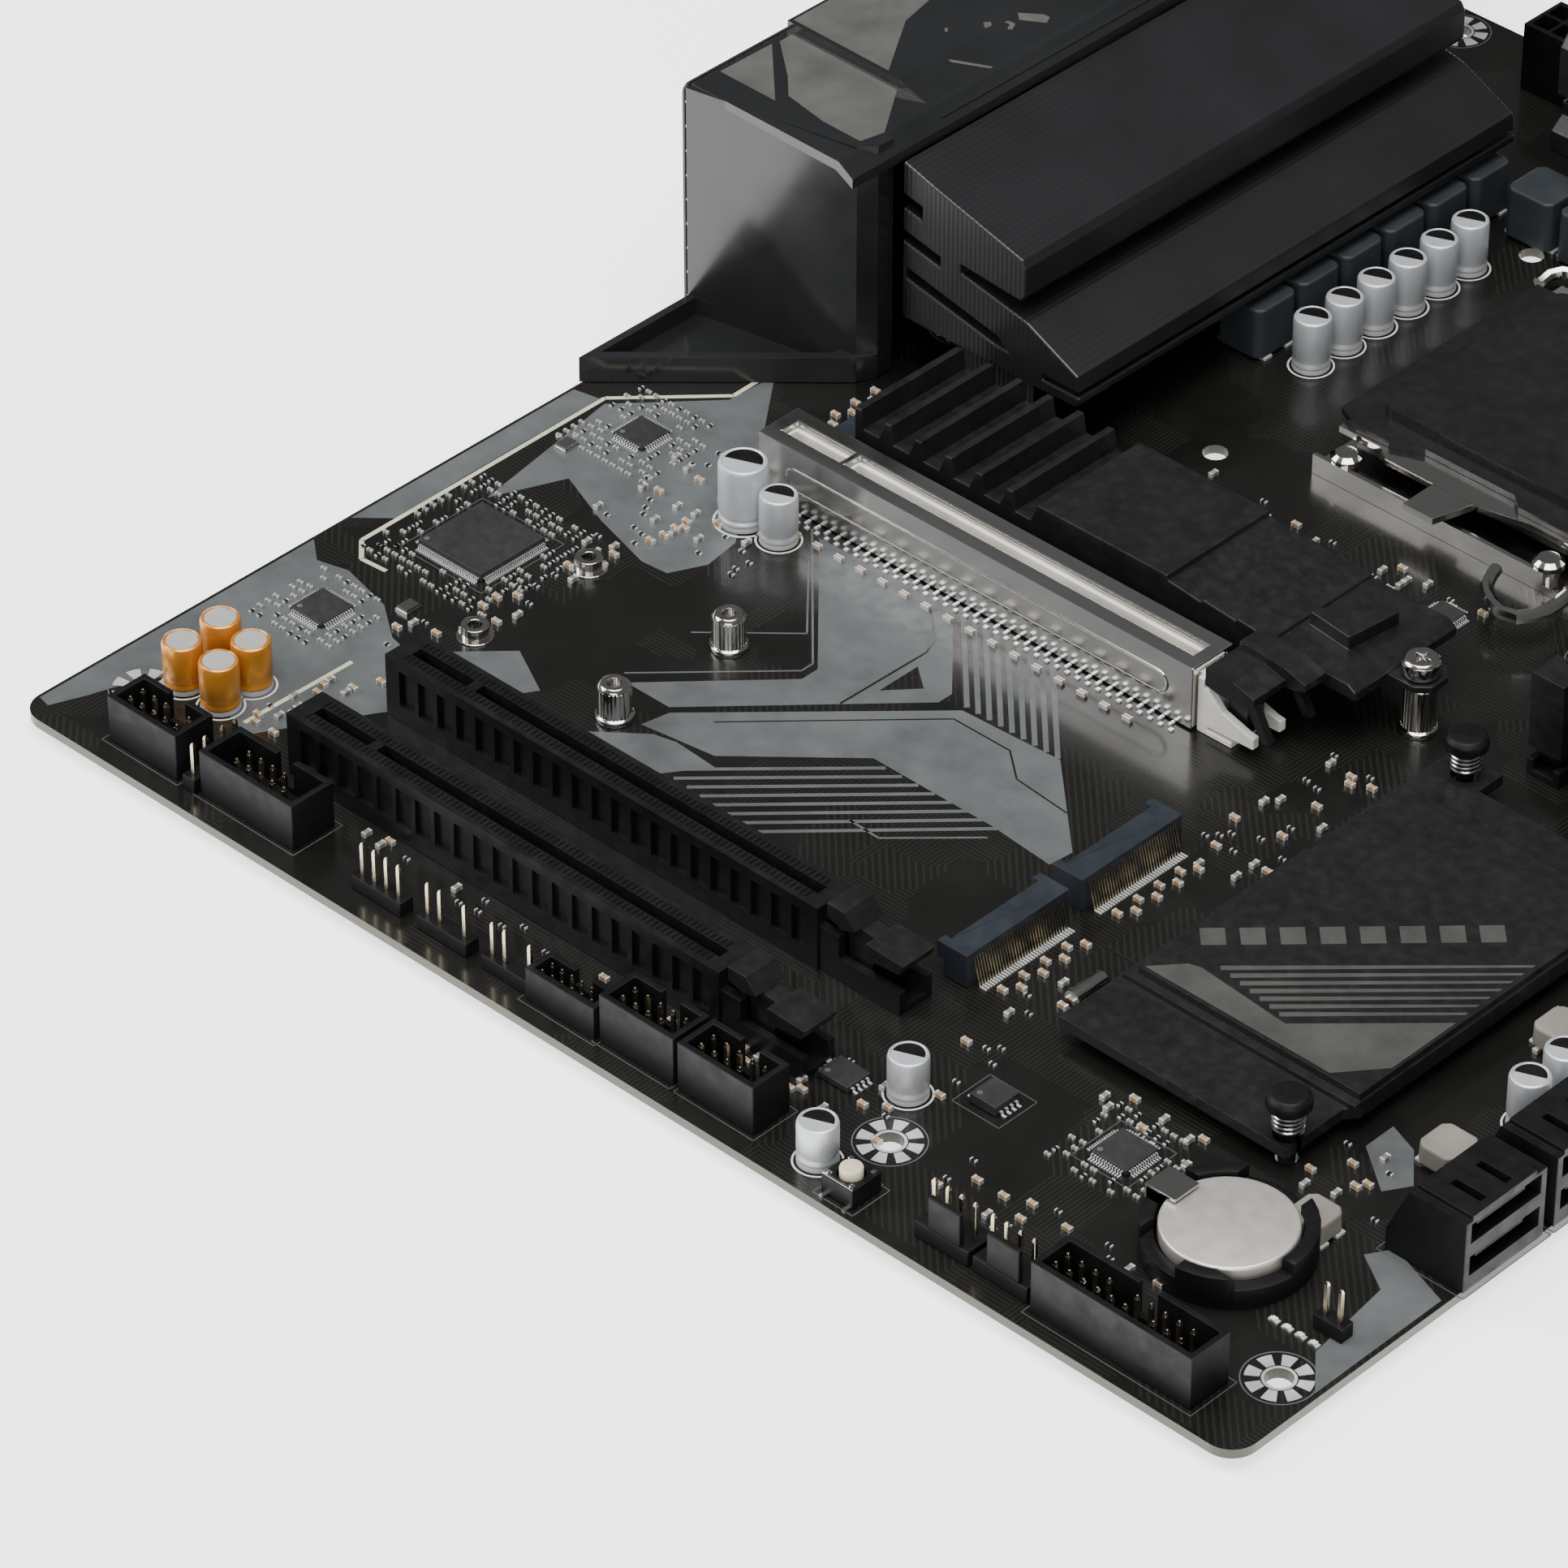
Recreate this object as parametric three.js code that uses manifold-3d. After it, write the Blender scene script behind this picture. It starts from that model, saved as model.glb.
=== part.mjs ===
// A full-size desktop motherboard, built as separate pieces on a bare printed circuit board.
// Board frame, in millimetres: X runs from the rear edge (ports) to the front edge, Y from the bottom
// edge (headers) to the top edge, and Z is up from the top face of the printed circuit board.
import * as THREE from 'three';
import { mergeVertices } from 'three/addons/utils/BufferGeometryUtils.js';
import Module from 'manifold-3d';

const wasm = await Module();
wasm.setup();

// Board and its screw holes
const BOARD_X = 243.84;
const BOARD_Y = 304.8;
const BOARD_THICKNESS = 1.6;
const BOARD_CORNER = 4.5;
const UNDERSIDE = -BOARD_THICKNESS;
const HOLE_RADIUS = 2.0;
const LAND_RADIUS = 4.8;
const LAND_HEIGHT = 0.1;
const HOLE_ROWS = [16.51, 173.99, 298.45];
const HOLE_COLUMNS = [10.16, 165.1, 237.49];
const REAR_UPPER_HOLE_X = 33.02;

// Where the lowest faces lie: the flat back of the processor socket's backing plate
const BACKPLATE_THICKNESS = 2.2;
const LOWEST = UNDERSIDE - BACKPLATE_THICKNESS;

// Processor socket
const SOCKET_X = 125;
const SOCKET_Y = 214.5;
const COOLER_HOLE_SPACING = 78;
const COOLER_HOLE_RADIUS = 2.1;

// Expansion slots
const SLOT_PITCH = 20.32;
const SLOT_THREE_Y = 20.8;
const SLOT_TWO_Y = SLOT_THREE_Y + SLOT_PITCH;
const GRAPHICS_SLOT_Y = SLOT_THREE_Y + 5 * SLOT_PITCH;
const SLOT_START_X = 41.5;
const SLOT_LENGTH = 89.5;
const SLOT_HEIGHT = 11.2;
const SLOT_WIDTH = 7.4;

// Memory slots
const MEMORY_COUNT = 4;
const MEMORY_PITCH = 9.4;
const MEMORY_FIRST_X = 174.7;
const MEMORY_WIDTH = 6.2;
const MEMORY_BOTTOM_Y = 144.7;
const MEMORY_LENGTH = 146;
const MEMORY_TOWER = 18.9;

// Rear shroud and power-stage heatsinks
const COVER_TOP = 46;
const COVER_SIDE_Y = 145;
const COVER_END_Y = 303;
const REAR_HEATSINK = [157.6, 264];
const TOP_HEATSINK = [79, 170];

// Clearance between neighbouring pieces
const GAP = 0.3;
const SEAT = 0.05;

// ---- Solids -------------------------------------------------------------------------------------

function solid(geometry) {
  geometry.deleteAttribute('normal');
  geometry.deleteAttribute('uv');
  const merged = mergeVertices(geometry, 1e-4);
  return new wasm.Manifold(new wasm.Mesh({
    numProp: 3,
    vertProperties: new Float32Array(merged.attributes.position.array),
    triVerts: new Uint32Array(merged.index.array),
  }));
}

function block(x0, x1, y0, y1, z0, z1) {
  const geometry = new THREE.BoxGeometry(x1 - x0, y1 - y0, z1 - z0);
  geometry.translate((x0 + x1) / 2, (y0 + y1) / 2, (z0 + z1) / 2);
  return solid(geometry);
}

function shapeOf(points) {
  return new THREE.Shape(points.map(([a, b]) => new THREE.Vector2(a, b)));
}

function extrude(shape, depth, segments = 5) {
  return new THREE.ExtrudeGeometry(shape, { depth, bevelEnabled: false, curveSegments: segments });
}

// An outline in X and Y, raised from z0 to z1
function slab(points, z0, z1) {
  const geometry = extrude(shapeOf(points), z1 - z0);
  geometry.translate(0, 0, z0);
  return solid(geometry);
}

// A profile in X and Z, carried along Y
function alongY(points, y0, y1) {
  const geometry = extrude(shapeOf(points), y1 - y0);
  geometry.rotateX(Math.PI / 2);
  geometry.translate(0, y1, 0);
  return solid(geometry);
}

// A profile in Y and Z, carried along X
function alongX(points, x0, x1) {
  const geometry = extrude(shapeOf(points), x1 - x0);
  const turn = new THREE.Matrix4().makeBasis(
    new THREE.Vector3(0, 1, 0), new THREE.Vector3(0, 0, 1), new THREE.Vector3(1, 0, 0));
  geometry.applyMatrix4(turn);
  geometry.translate(x0, 0, 0);
  return solid(geometry);
}

function disc(x, y, radius, z0, z1, sides = 24) {
  const geometry = new THREE.CylinderGeometry(radius, radius, z1 - z0, sides);
  geometry.rotateX(Math.PI / 2);
  geometry.translate(x, y, (z0 + z1) / 2);
  return solid(geometry);
}

// A round bar along Y
function barAlongY(x, z, radius, y0, y1, sides = 12) {
  const geometry = new THREE.CylinderGeometry(radius, radius, y1 - y0, sides);
  geometry.translate(x, (y0 + y1) / 2, z);
  return solid(geometry);
}

// A turned piece: pairs of radius and height, starting and ending on the axis
function turned(x, y, profile, sides = 24) {
  const geometry = new THREE.LatheGeometry(profile.map(([r, z]) => new THREE.Vector2(r, z)), sides);
  geometry.rotateX(Math.PI / 2);
  geometry.translate(x, y, 0);
  return solid(geometry);
}

function roundedRectangle(x0, x1, y0, y1, radius) {
  const shape = new THREE.Shape();
  shape.moveTo(x0 + radius, y0);
  shape.lineTo(x1 - radius, y0);
  shape.absarc(x1 - radius, y0 + radius, radius, -Math.PI / 2, 0, false);
  shape.lineTo(x1, y1 - radius);
  shape.absarc(x1 - radius, y1 - radius, radius, 0, Math.PI / 2, false);
  shape.lineTo(x0 + radius, y1);
  shape.absarc(x0 + radius, y1 - radius, radius, Math.PI / 2, Math.PI, false);
  shape.lineTo(x0, y0 + radius);
  shape.absarc(x0 + radius, y0 + radius, radius, Math.PI, 1.5 * Math.PI, false);
  return shape;
}

function roundedSlab(x0, x1, y0, y1, radius, z0, z1) {
  const geometry = extrude(roundedRectangle(x0, x1, y0, y1, radius), z1 - z0);
  geometry.translate(0, 0, z0);
  return solid(geometry);
}

function join(...bodies) {
  return bodies.reduce((whole, body) => whole.add(body));
}

function cut(body, ...tools) {
  return tools.reduce((whole, tool) => whole.subtract(tool), body);
}

// ---- Looks --------------------------------------------------------------------------------------

const LOOKS = {
  board: [0x14120f, 0.45, 0.0],
  steel: [0xb9b5ab, 0.3, 1.0],
  nickel: [0xcac4b8, 0.25, 1.0],
  coated: [0x1b1c1d, 0.55, 0.2],
  anodised: [0x141414, 0.5, 0.6],
  plastic: [0x121314, 0.5, 0.0],
  pale: [0xe6e8ea, 0.45, 0.0],
  cream: [0xd9d2bd, 0.5, 0.0],
  chip: [0x202124, 0.5, 0.1],
  cell: [0xb8b2a2, 0.35, 1.0],
};

const board = new THREE.Group();

// Turns a finished solid into a named mesh of the scene
function piece(name, body, look) {
  const [color, roughness, metalness] = LOOKS[look];
  const mesh = body.getMesh();
  const geometry = new THREE.BufferGeometry();
  geometry.setAttribute('position', new THREE.BufferAttribute(new Float32Array(mesh.vertProperties), 3));
  geometry.setIndex(new THREE.BufferAttribute(new Uint32Array(mesh.triVerts), 1));
  const flat = geometry.toNonIndexed();
  flat.computeVertexNormals();
  const material = new THREE.MeshStandardMaterial({ color, roughness, metalness });
  const part = new THREE.Mesh(flat, material);
  part.name = name;
  board.add(part);
}

// Screws that clamp the two power-stage heatsinks from below, and the through-board tails of two headers
const HEATSINK_SCREWS = [[51, 166], [51, 256], [90, 280], [158, 280]];
const HEADER_TAILS = [[18.4, 7.9], [28.5, 7.9], [208.3, 7.1], [228.6, 7.1]];

// ---- Printed circuit board ----------------------------------------------------------------------

function screwHoles() {
  const [bottom, middle, top] = HOLE_ROWS;
  const [rear, centre, front] = HOLE_COLUMNS;
  return [
    [rear, bottom], [centre, bottom], [front, bottom],
    [REAR_UPPER_HOLE_X, middle], [centre, middle], [front, middle],
    [REAR_UPPER_HOLE_X, top], [centre, top], [front, top],
  ];
}

function coolerHoles() {
  const half = COOLER_HOLE_SPACING / 2;
  return [[-half, -half], [half, -half], [-half, half], [half, half]]
    .map(([dx, dy]) => [SOCKET_X + dx, SOCKET_Y + dy]);
}

function printedBoard() {
  let body = roundedSlab(0, BOARD_X, 0, BOARD_Y, BOARD_CORNER, UNDERSIDE, 0);
  for (const [x, y] of screwHoles()) {
    body = body.add(disc(x, y, LAND_RADIUS, UNDERSIDE - LAND_HEIGHT, UNDERSIDE + 0.5, 20));
    body = cut(body, disc(x, y, HOLE_RADIUS, UNDERSIDE - 1, 1, 16));
  }
  for (const [x, y] of coolerHoles()) {
    body = cut(body, disc(x, y, COOLER_HOLE_RADIUS, UNDERSIDE - 1, 1, 16));
  }
  for (const [x, y] of PUSH_PINS) {
    body = cut(body, disc(x, y, 1.7, UNDERSIDE - 1, 1, 12));
  }
  for (const [x, y] of HEATSINK_SCREWS) {
    body = cut(body, disc(x, y, 1.75, UNDERSIDE - 1, 1, 12));
  }
  for (const [x, y] of HEADER_TAILS) {
    body = cut(body, disc(x, y, 0.9, UNDERSIDE - 1, 1, 8));
  }
  piece('printed_circuit_board', body, 'board');
}

// ---- Chipset, its heatsink and the two sprung push pins ------------------------------------------

const PUSH_PINS = [[207.5, 52.6], [171.7, 133.9]];
const HEATSINK_BASE = [[166.7, 49.8], [209.6, 49.8], [209.6, 62], [211.2, 64], [211.2, 123], [209.6, 125],
  [209.6, 132], [176, 132], [176, 137.6], [166.7, 137.6]];
const HEATSINK_PLATE = [[169.1, 64], [210.9, 64], [210.9, 123], [169.1, 123]];

function chipset() {
  const die = block(186, 196, 88, 98, 1.3, 2.0);
  piece('chipset', join(block(178, 204, 80, 106, 0.05, 1.4), die), 'chip');
}

function chipsetHeatsink() {
  const lower = slab(HEATSINK_BASE, 2.3, 4.2);
  const bevel = slab([[167.4, 62.6], [211.2, 62.6], [211.2, 124.4], [167.4, 124.4]], 4.1, 5.2);
  let body = join(lower, bevel, slab(HEATSINK_PLATE, 5.1, 6.5));
  for (const [x, y] of PUSH_PINS) {
    body = cut(body, disc(x, y, 2.2, 0, 9, 16));
  }
  piece('chipset_heatsink', body, 'anodised');
}

function pushPins() {
  PUSH_PINS.forEach(([x, y], index) => {
    const profile = [
      [0, UNDERSIDE - 1.1], [0.8, UNDERSIDE - 1.1], [1.3, UNDERSIDE - 0.4], [1.3, 9.4], [3.4, 9.4],
      [3.4, 10.9], [2.7, 11.6], [0, 11.6],
    ];
    piece(`push_pin_${index + 1}`, turned(x, y, profile, 16), 'plastic');
  });
}

// ---- Expansion slots ----------------------------------------------------------------------------

// Two straight runs of the card slot, split by the key
function cardSlots(y, width, depth) {
  const floor = SLOT_HEIGHT - depth;
  return [
    block(SLOT_START_X + 3, SLOT_START_X + 14.6, y - width / 2, y + width / 2, floor, SLOT_HEIGHT + 1),
    block(SLOT_START_X + 16.4, SLOT_START_X + 87, y - width / 2, y + width / 2, floor, SLOT_HEIGHT + 1),
  ];
}

function slotBody(name, y) {
  const end = SLOT_START_X + SLOT_LENGTH;
  let body = join(
    block(SLOT_START_X, end, y - SLOT_WIDTH / 2, y + SLOT_WIDTH / 2, 0.05, SLOT_HEIGHT),
    block(end - 1, end + 4, y - 3.4, y - 1.9, 0.05, 8),
    block(end - 1, end + 4, y + 1.9, y + 3.4, 0.05, 8),
    block(end + 3.9, end + 16, y - 3.4, y - 2.1, 0.05, 4.2),
    block(end + 3.9, end + 16, y + 2.1, y + 3.4, 0.05, 4.2),
    block(end + 3.9, end + 16, y - 3.4, y + 3.4, 0.05, 1.2));
  body = cut(body, ...cardSlots(y, 2.0, 7.5));
  const ribs = 21;
  const ribPitch = (SLOT_LENGTH - 4) / ribs;
  for (let rib = 0; rib < ribs; rib += 1) {
    const start = SLOT_START_X + 2 + rib * ribPitch;
    for (const side of [-1, 1]) {
      const wall = y + side * SLOT_WIDTH / 2;
      const inner = wall - side * 0.7;
      body = cut(body, block(
        start + 0.9, start + ribPitch, Math.min(wall, inner) - (side < 0 ? 1 : 0),
        Math.max(wall, inner) + (side > 0 ? 1 : 0), 3, 9.4));
    }
  }
  piece(name, body, 'plastic');
}

// The black end lever of a slot, hinged low between the slot's two cheeks
function slotLatch(name, y) {
  const end = SLOT_START_X + SLOT_LENGTH;
  const lever = alongY([
    [end + 4.6, 2.0], [end + 8.5, 2.0], [end + 9.5, 6.2], [end + 15.8, 7.6], [end + 16.6, 9.4],
    [end + 7, 9.9], [end + 4.6, 12.6], [end + 1.2, 12.6], [end + 1.2, 10.2], [end + 4.2, 8.6],
  ], y - 1.6, y + 1.6);
  const thumb = alongY([
    [end + 9.2, 7.0], [end + 15.8, 7.6], [end + 16.6, 9.4], [end + 9.2, 9.7],
  ], y - 3.4, y + 3.4);
  const nose = alongY([
    [end + 4.2, 9.2], [end + 6.8, 10.2], [end + 4.6, 12.6], [end + 1.2, 12.6], [end + 1.2, 10.2],
  ], y - 3.0, y + 3.0);
  piece(name, join(lever, thumb, nose), 'plastic');
}

function graphicsSlot() {
  const y = GRAPHICS_SLOT_Y;
  const end = SLOT_START_X + SLOT_LENGTH;
  const wallGap = 0.9;
  const core = SLOT_WIDTH / 2;
  const cheek = [[end + 2, 1.6], [end + 12.4, 2.0], [end + 12.4, 3.9], [end + 11, 4.1], [end + 6, 5.6],
    [end + 3.4, 8.4], [end + 2, 8.4]];
  let inner = join(
    block(SLOT_START_X + 1, end + 2.4, y - core + wallGap, y + core - wallGap, 0.05, SLOT_HEIGHT - 0.9),
    block(end + 1.2, end + 2.4, y - core, y + core, 0.05, SLOT_HEIGHT - 1.2),
    alongY(cheek, y - core, y - core + 1.3),
    alongY(cheek, y + core - 1.3, y + core),
    block(end + 2, end + 8, y - core, y + core, SEAT, 1.0),
    block(end + 2, end + 3.2, y - core, y + core, SEAT, 8.4));
  inner = cut(inner, ...cardSlots(y, 2.0, 7.5));
  piece('graphics_slot_body', inner, 'pale');

  const skin = 4.5;
  let shell = block(SLOT_START_X, end + 0.9, y - skin, y + skin, 0.4, SLOT_HEIGHT + 0.4);
  shell = cut(shell, block(
    SLOT_START_X + 0.7, end + 2, y - core + wallGap - GAP, y + core - wallGap + GAP, -1, SLOT_HEIGHT - 0.6));
  shell = cut(shell,
    block(SLOT_START_X + 2.6, SLOT_START_X + 15, y - 1.7, y + 1.7, 5, SLOT_HEIGHT + 1),
    block(SLOT_START_X + 16, SLOT_START_X + 88, y - 1.7, y + 1.7, 5, SLOT_HEIGHT + 1));
  piece('graphics_slot_armour', shell, 'steel');

  // Lever head in two wings, one over the slot's end and a larger one reaching past its far side
  const lever = alongY([
    [end + 6, 2.2], [end + 9.4, 2.2], [end + 9.8, 9.8], [end + 5.6, 9.8],
  ], y - 1.9, y + 1.9);
  const nearWing = alongY([
    [end + 2.8, 9.4], [end + 5.2, 9.0], [end + 10.4, 9.0], [end + 12.4, 10.2], [end + 12.4, 11.4],
    [end + 8.2, 12.6], [end + 2.8, 12.6],
  ], y - 4.0, y + 3.9);
  const farWing = alongY([
    [end + 3.4, 10.4], [end + 12, 10.0], [end + 16.4, 11.2], [end + 16.4, 12.4], [end + 12, 13.6], [end + 3.4, 14.2],
  ], y + 3.0, y + 7.9);
  const legs = [-3.0, 6.4].map((offset) => alongY([
    [end + 9.8, 10.6], [end + 12.0, 10.6], [end + 15.4, 4.4], [end + 14.0, 4.0],
  ], y + offset - 0.7, y + offset + 0.7));
  piece('graphics_slot_latch', join(lever, nearWing, farWing, ...legs), 'plastic');
}

// ---- Solid-state storage sockets, stand-offs and heatsink ---------------------------------------

// A low edge socket, its mouth facing the rear edge (side -1) or the front edge (side 1)
function storageSocket(name, x, y, width, height, side = -1) {
  const half = width / 2;
  const along = (a, b) => (side < 0 ? [x + a, x + b] : [x - b, x - a]);
  const [bodyStart, bodyEnd] = along(0, 4.6);
  const [lipStart, lipEnd] = along(-1.2, 0.2);
  const [mouthStart, mouthEnd] = along(-2, 3);
  let body = join(
    block(bodyStart, bodyEnd, y - half, y + half, SEAT, height),
    block(lipStart, lipEnd, y - half, y - half + 1.6, height - 3, height),
    block(lipStart, lipEnd, y + half - 1.6, y + half, height - 3, height));
  body = cut(body, block(mouthStart, mouthEnd, y - half + 1.2, y + half - 1.2, height - 2.4, height - 1.0));
  piece(name, body, 'coated');
}

function standoff(name, x, y, height) {
  const teeth = 16;
  let body = turned(x, y, [
    [0, 0.05], [3.1, 0.05], [3.1, 0.9], [2.6, 1.1], [2.6, height - 0.6], [2.1, height], [1.1, height],
    [1.1, height - 3.5], [0, height - 3.5],
  ], teeth);
  body = body.intersect(disc(x, y, 3.2, 0, height + 1, teeth));
  piece(name, body, 'nickel');
}

const HEATSINK_SCREW = [156.0, 142.0];

function storageHeatsink() {
  const y0 = 130.8;
  const y1 = 154.4;
  const top = 13.8;
  const base = 6.6;
  const rear = 50;
  const stepStart = 115;
  const stepLength = 7;
  const outline = [[rear, base], [138, base], [140, 9.2], [152.6, 9.2], [152.6, 10.6], [151, 11.6],
    [stepStart + 3 * stepLength, 11.6]];
  for (let step = 2; step >= 0; step -= 1) {
    const x = stepStart + step * stepLength;
    outline.push([x + stepLength - 0.2, top - 1.6], [x + 0.2, top - 0.9 - step * 0.1]);
  }
  outline.push([stepStart, top]);
  for (let fin = 0; fin < 6; fin += 1) {
    const x = 88.5 - fin * 6.4;
    outline.push([x, top], [x - 1.4, 10.4], [x - 4.6, 10.4], [x - 5.2, top]);
  }
  outline.push([rear, top]);
  const [sx, sy] = HEATSINK_SCREW;
  const arm = slab([[150, sy - 3.6], [157.6, sy - 3.6], [159.6, sy - 1.6], [159.6, sy + 2], [157.6, sy + 4],
    [150, sy + 4]], 9.2, 10.4);
  const wedge = slab([[136.9, 138.6], [145.5, 137.6], [146.7, 147.8], [136.9, 140.1]], 11, 14);
  piece('storage_heatsink', cut(join(alongY(outline, y0, y1), arm, wedge), disc(sx, sy, 1.75, 0, 12, 16)), 'anodised');
  standoff('heatsink_standoff', sx, sy, 8.9);
  let screw = turned(sx, sy, [
    [0, 6.0], [0.75, 6.0], [0.75, 8.7], [1.4, 9.4], [1.4, 10.7], [3.0, 10.7], [3.0, 12.9], [2.5, 13.4], [0, 13.4],
  ], 16);
  screw = cut(screw,
    block(sx - 1.4, sx + 1.4, sy - 0.3, sy + 0.3, 12.2, 15),
    block(sx - 0.3, sx + 0.3, sy - 1.4, sy + 1.4, 12.2, 15));
  piece('heatsink_screw', screw, 'nickel');
  storageSocket('storage_socket_3', 46.6, 142.4, 22, 4.2, 1);
}

// ---- Headers along the bottom edge --------------------------------------------------------------

function boxHeader(name, x0, x1, y0, y1, height, tails = []) {
  const wall = 1.0;
  const floor = 2.2;
  let body = cut(
    block(x0, x1, y0, y1, SEAT, height),
    block(x0 + wall, x1 - wall, y0 + wall, y1 - wall, floor, height + 1));
  const notch = (x0 + x1) / 2 + 0.6;
  body = cut(body, block(notch - 1.8, notch + 1.8, y1 - wall - 0.5, y1 + 1, 3.2, height + 1));
  for (const [x, y] of tails) {
    body = body.add(disc(x, y, 0.5, LOWEST, 1, 8));
  }
  piece(name, body, 'plastic');
}

function headers() {
  const [audioTails, panelTails] = [HEADER_TAILS.slice(0, 2), HEADER_TAILS.slice(2)];
  boxHeader('audio_header', 16.0, 31.0, 4.2, 11.9, 8.2, audioTails);
  boxHeader('serial_header', 35.9, 55.9, 4.4, 12.9, 8.1);
  boxHeader('usb_header_1', 119.8, 134.6, 4.1, 11.6, 8.6);
  boxHeader('usb_header_2', 135.4, 150.3, 4.1, 11.6, 8.6);
  boxHeader('front_panel_header', 203.8, 233.1, 3.2, 11.1, 9.1, panelTails);
  boxHeader('service_header', 105.3, 119.2, 3.6, 9.0, 5.8);
}

// ---- Update button ------------------------------------------------------------------------------

const BUTTON = [168.6, 4.9];

function updateButton() {
  const [x, y] = BUTTON;
  const body = cut(block(x - 3, x + 3, y - 3, y + 3, 0.05, 3.4), disc(x, y, 2.1, 1.2, 4, 20));
  piece('button_body', body, 'plastic');
  piece('button_cap', disc(x, y, 1.75, 1.9, 4.6, 20), 'cream');
}

// ---- Coin cell and its holder -------------------------------------------------------------------

const CELL = [214.9, 31.8];

function battery() {
  const [x, y] = CELL;
  let holder = disc(x, y, 12.6, 0.05, 5.4, 40);
  holder = cut(holder,
    disc(x, y, 10.5, 1.6, 7, 40),
    block(x - 14, x - 6, y - 4.2, y + 4.2, 1.6, 7),
    block(x - 6, x + 5, y + 6, y + 14, 3.2, 7),
    block(x + 5.5, x + 14, y - 9, y - 1, 3.4, 7),
    block(x - 8, x + 1, y - 14, y - 6, 3.4, 7));
  piece('battery_holder', holder, 'plastic');
  piece('coin_cell', turned(x, y, [
    [0, 1.95], [8.6, 1.95], [8.6, 2.3], [10.0, 2.5], [10.0, 4.9], [9.7, 5.15], [0, 5.15],
  ], 40), 'cell');
  const clip = alongY([
    [x - 7.8, 5.5], [x - 13.0, 5.5], [x - 13.0, 0.1], [x - 13.4, 0.1], [x - 13.4, 6.0], [x - 7.8, 6.0],
  ], y - 2.6, y + 2.6);
  piece('battery_clip', clip, 'nickel');
}

// ---- Drive connectors on the front edge ---------------------------------------------------------

function driveConnector(name, y0, y1) {
  const front = BOARD_X + 0.4;
  const back = 230.2;
  let body = join(
    alongY([[back, SEAT], [front, SEAT], [front, 12.4], [234, 12.4], [back, 3.8]], y0, y1),
    block(234.3, front, y0 + 1.3, y1 - 2.3, 12.3, 13.2));
  const middle = (y0 + y1) / 2;
  for (const z of [2.6, 8.4]) {
    body = cut(body, block(front - 7, front + 1, y0 + 1.2, y1 - 1.2, z, z + 3.4));
    body = body.add(block(front - 7.5, front - 1, middle - 5.2, middle + 5.2, z + 1.5, z + 2.6));
  }
  for (const y of [y0 + 5.2, y0 + 10.6]) {
    body = cut(body, block(237.4, 242.8, y - 0.7, y + 0.7, 11, 14));
  }
  piece(name, body, 'plastic');
}

// ---- Processor socket ---------------------------------------------------------------------------

const SOCKET_SCREWS = [[105.3, 184.4], [146.2, 184.4], [105.3, 245.4], [146.2, 245.4]];
const LEVER_AXIS = [250.2, 3.2];
const PLATE_AXIS = [246.4, 5.7];

function processorSocket() {
  const cx = SOCKET_X;
  const cy = SOCKET_Y;
  const body = cut(
    block(cx - 24, cx + 24, cy - 22.5, cy + 22.5, SEAT, 3.0),
    block(cx - 18.7, cx + 18.7, cy - 18.4, cy + 18.4, 2.0, 4));
  piece('socket_body', body, 'coated');

  // Steel frame around the socket body: a plate, a low wall at the lower end, curls and screw bosses
  let frame = join(
    block(100.6, 150.4, 181.8, 248.2, SEAT, 1.5),
    block(100.6, 147.2, 181.8, 182.6, SEAT, 3.6),
    block(104, 112, 248, 252.4, SEAT, 1.5),
    block(136, 146, 248, 252.4, SEAT, 1.5));
  frame = cut(frame, block(cx - 24.4, cx + 24.4, cy - 23, cy + 23, -1, 4));
  for (const [x, y] of SOCKET_SCREWS) {
    frame = frame.add(turned(x, y, [[0, SEAT], [1.9, SEAT], [1.9, 3.2], [2.6, 3.4], [2.6, 4.3], [1.8, 4.9], [0, 4.9]], 16));
  }
  piece('socket_frame', frame, 'nickel');
  piece('backplate', roundedSlab(98, 152, 180, 249, 4, LOWEST, UNDERSIDE - SEAT), 'steel');
}

// Load plate hinged along the upper end, with its cap clipped over the window
function loadPlate() {
  const [axisY, axisZ] = PLATE_AXIS;
  const low = 5.2;
  const high = 6.3;
  let plate = join(
    slab([[101, 187.5], [109.5, 187.5], [112, 185.6], [121, 185.6], [131, 185.6], [139.5, 187.5], [150, 187.5],
      [150, 242.5], [101, 242.5]], low, high),
    slab([[121.8, 186], [121.8, 178.4], [127.8, 178.4], [130, 186]], low - 0.2, high - 0.1),
    block(112, 120, 242, axisY, low, high),
    block(130, 138, 242, axisY, low, high),
    barAlongX(axisY, axisZ, 1.1, 112, 120),
    barAlongX(axisY, axisZ, 1.1, 130, 138));
  plate = cut(plate, block(108.5, 141.5, 196.5, 232.5, 0, 8));
  piece('load_plate', plate, 'nickel');

  const wing = slab([[99, 190.4], [104, 188], [110.5, 188.3], [116, 190.6], [134, 190.6], [136.5, 188.5], [149, 188.5],
    [149, 238.6], [99, 238.6]], high + SEAT, 7.5);
  const dome = roundedSlab(104.6, 146.2, 193, 237.4, 2.5, 7.4, 9.6);
  piece('socket_cap', join(wing, dome), 'plastic');
}

// A round bar along X
function barAlongX(y, z, radius, x0, x1, sides = 12) {
  const geometry = new THREE.CylinderGeometry(radius, radius, x1 - x0, sides);
  geometry.rotateZ(Math.PI / 2);
  geometry.translate((x0 + x1) / 2, y, z);
  return solid(geometry);
}

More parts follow.
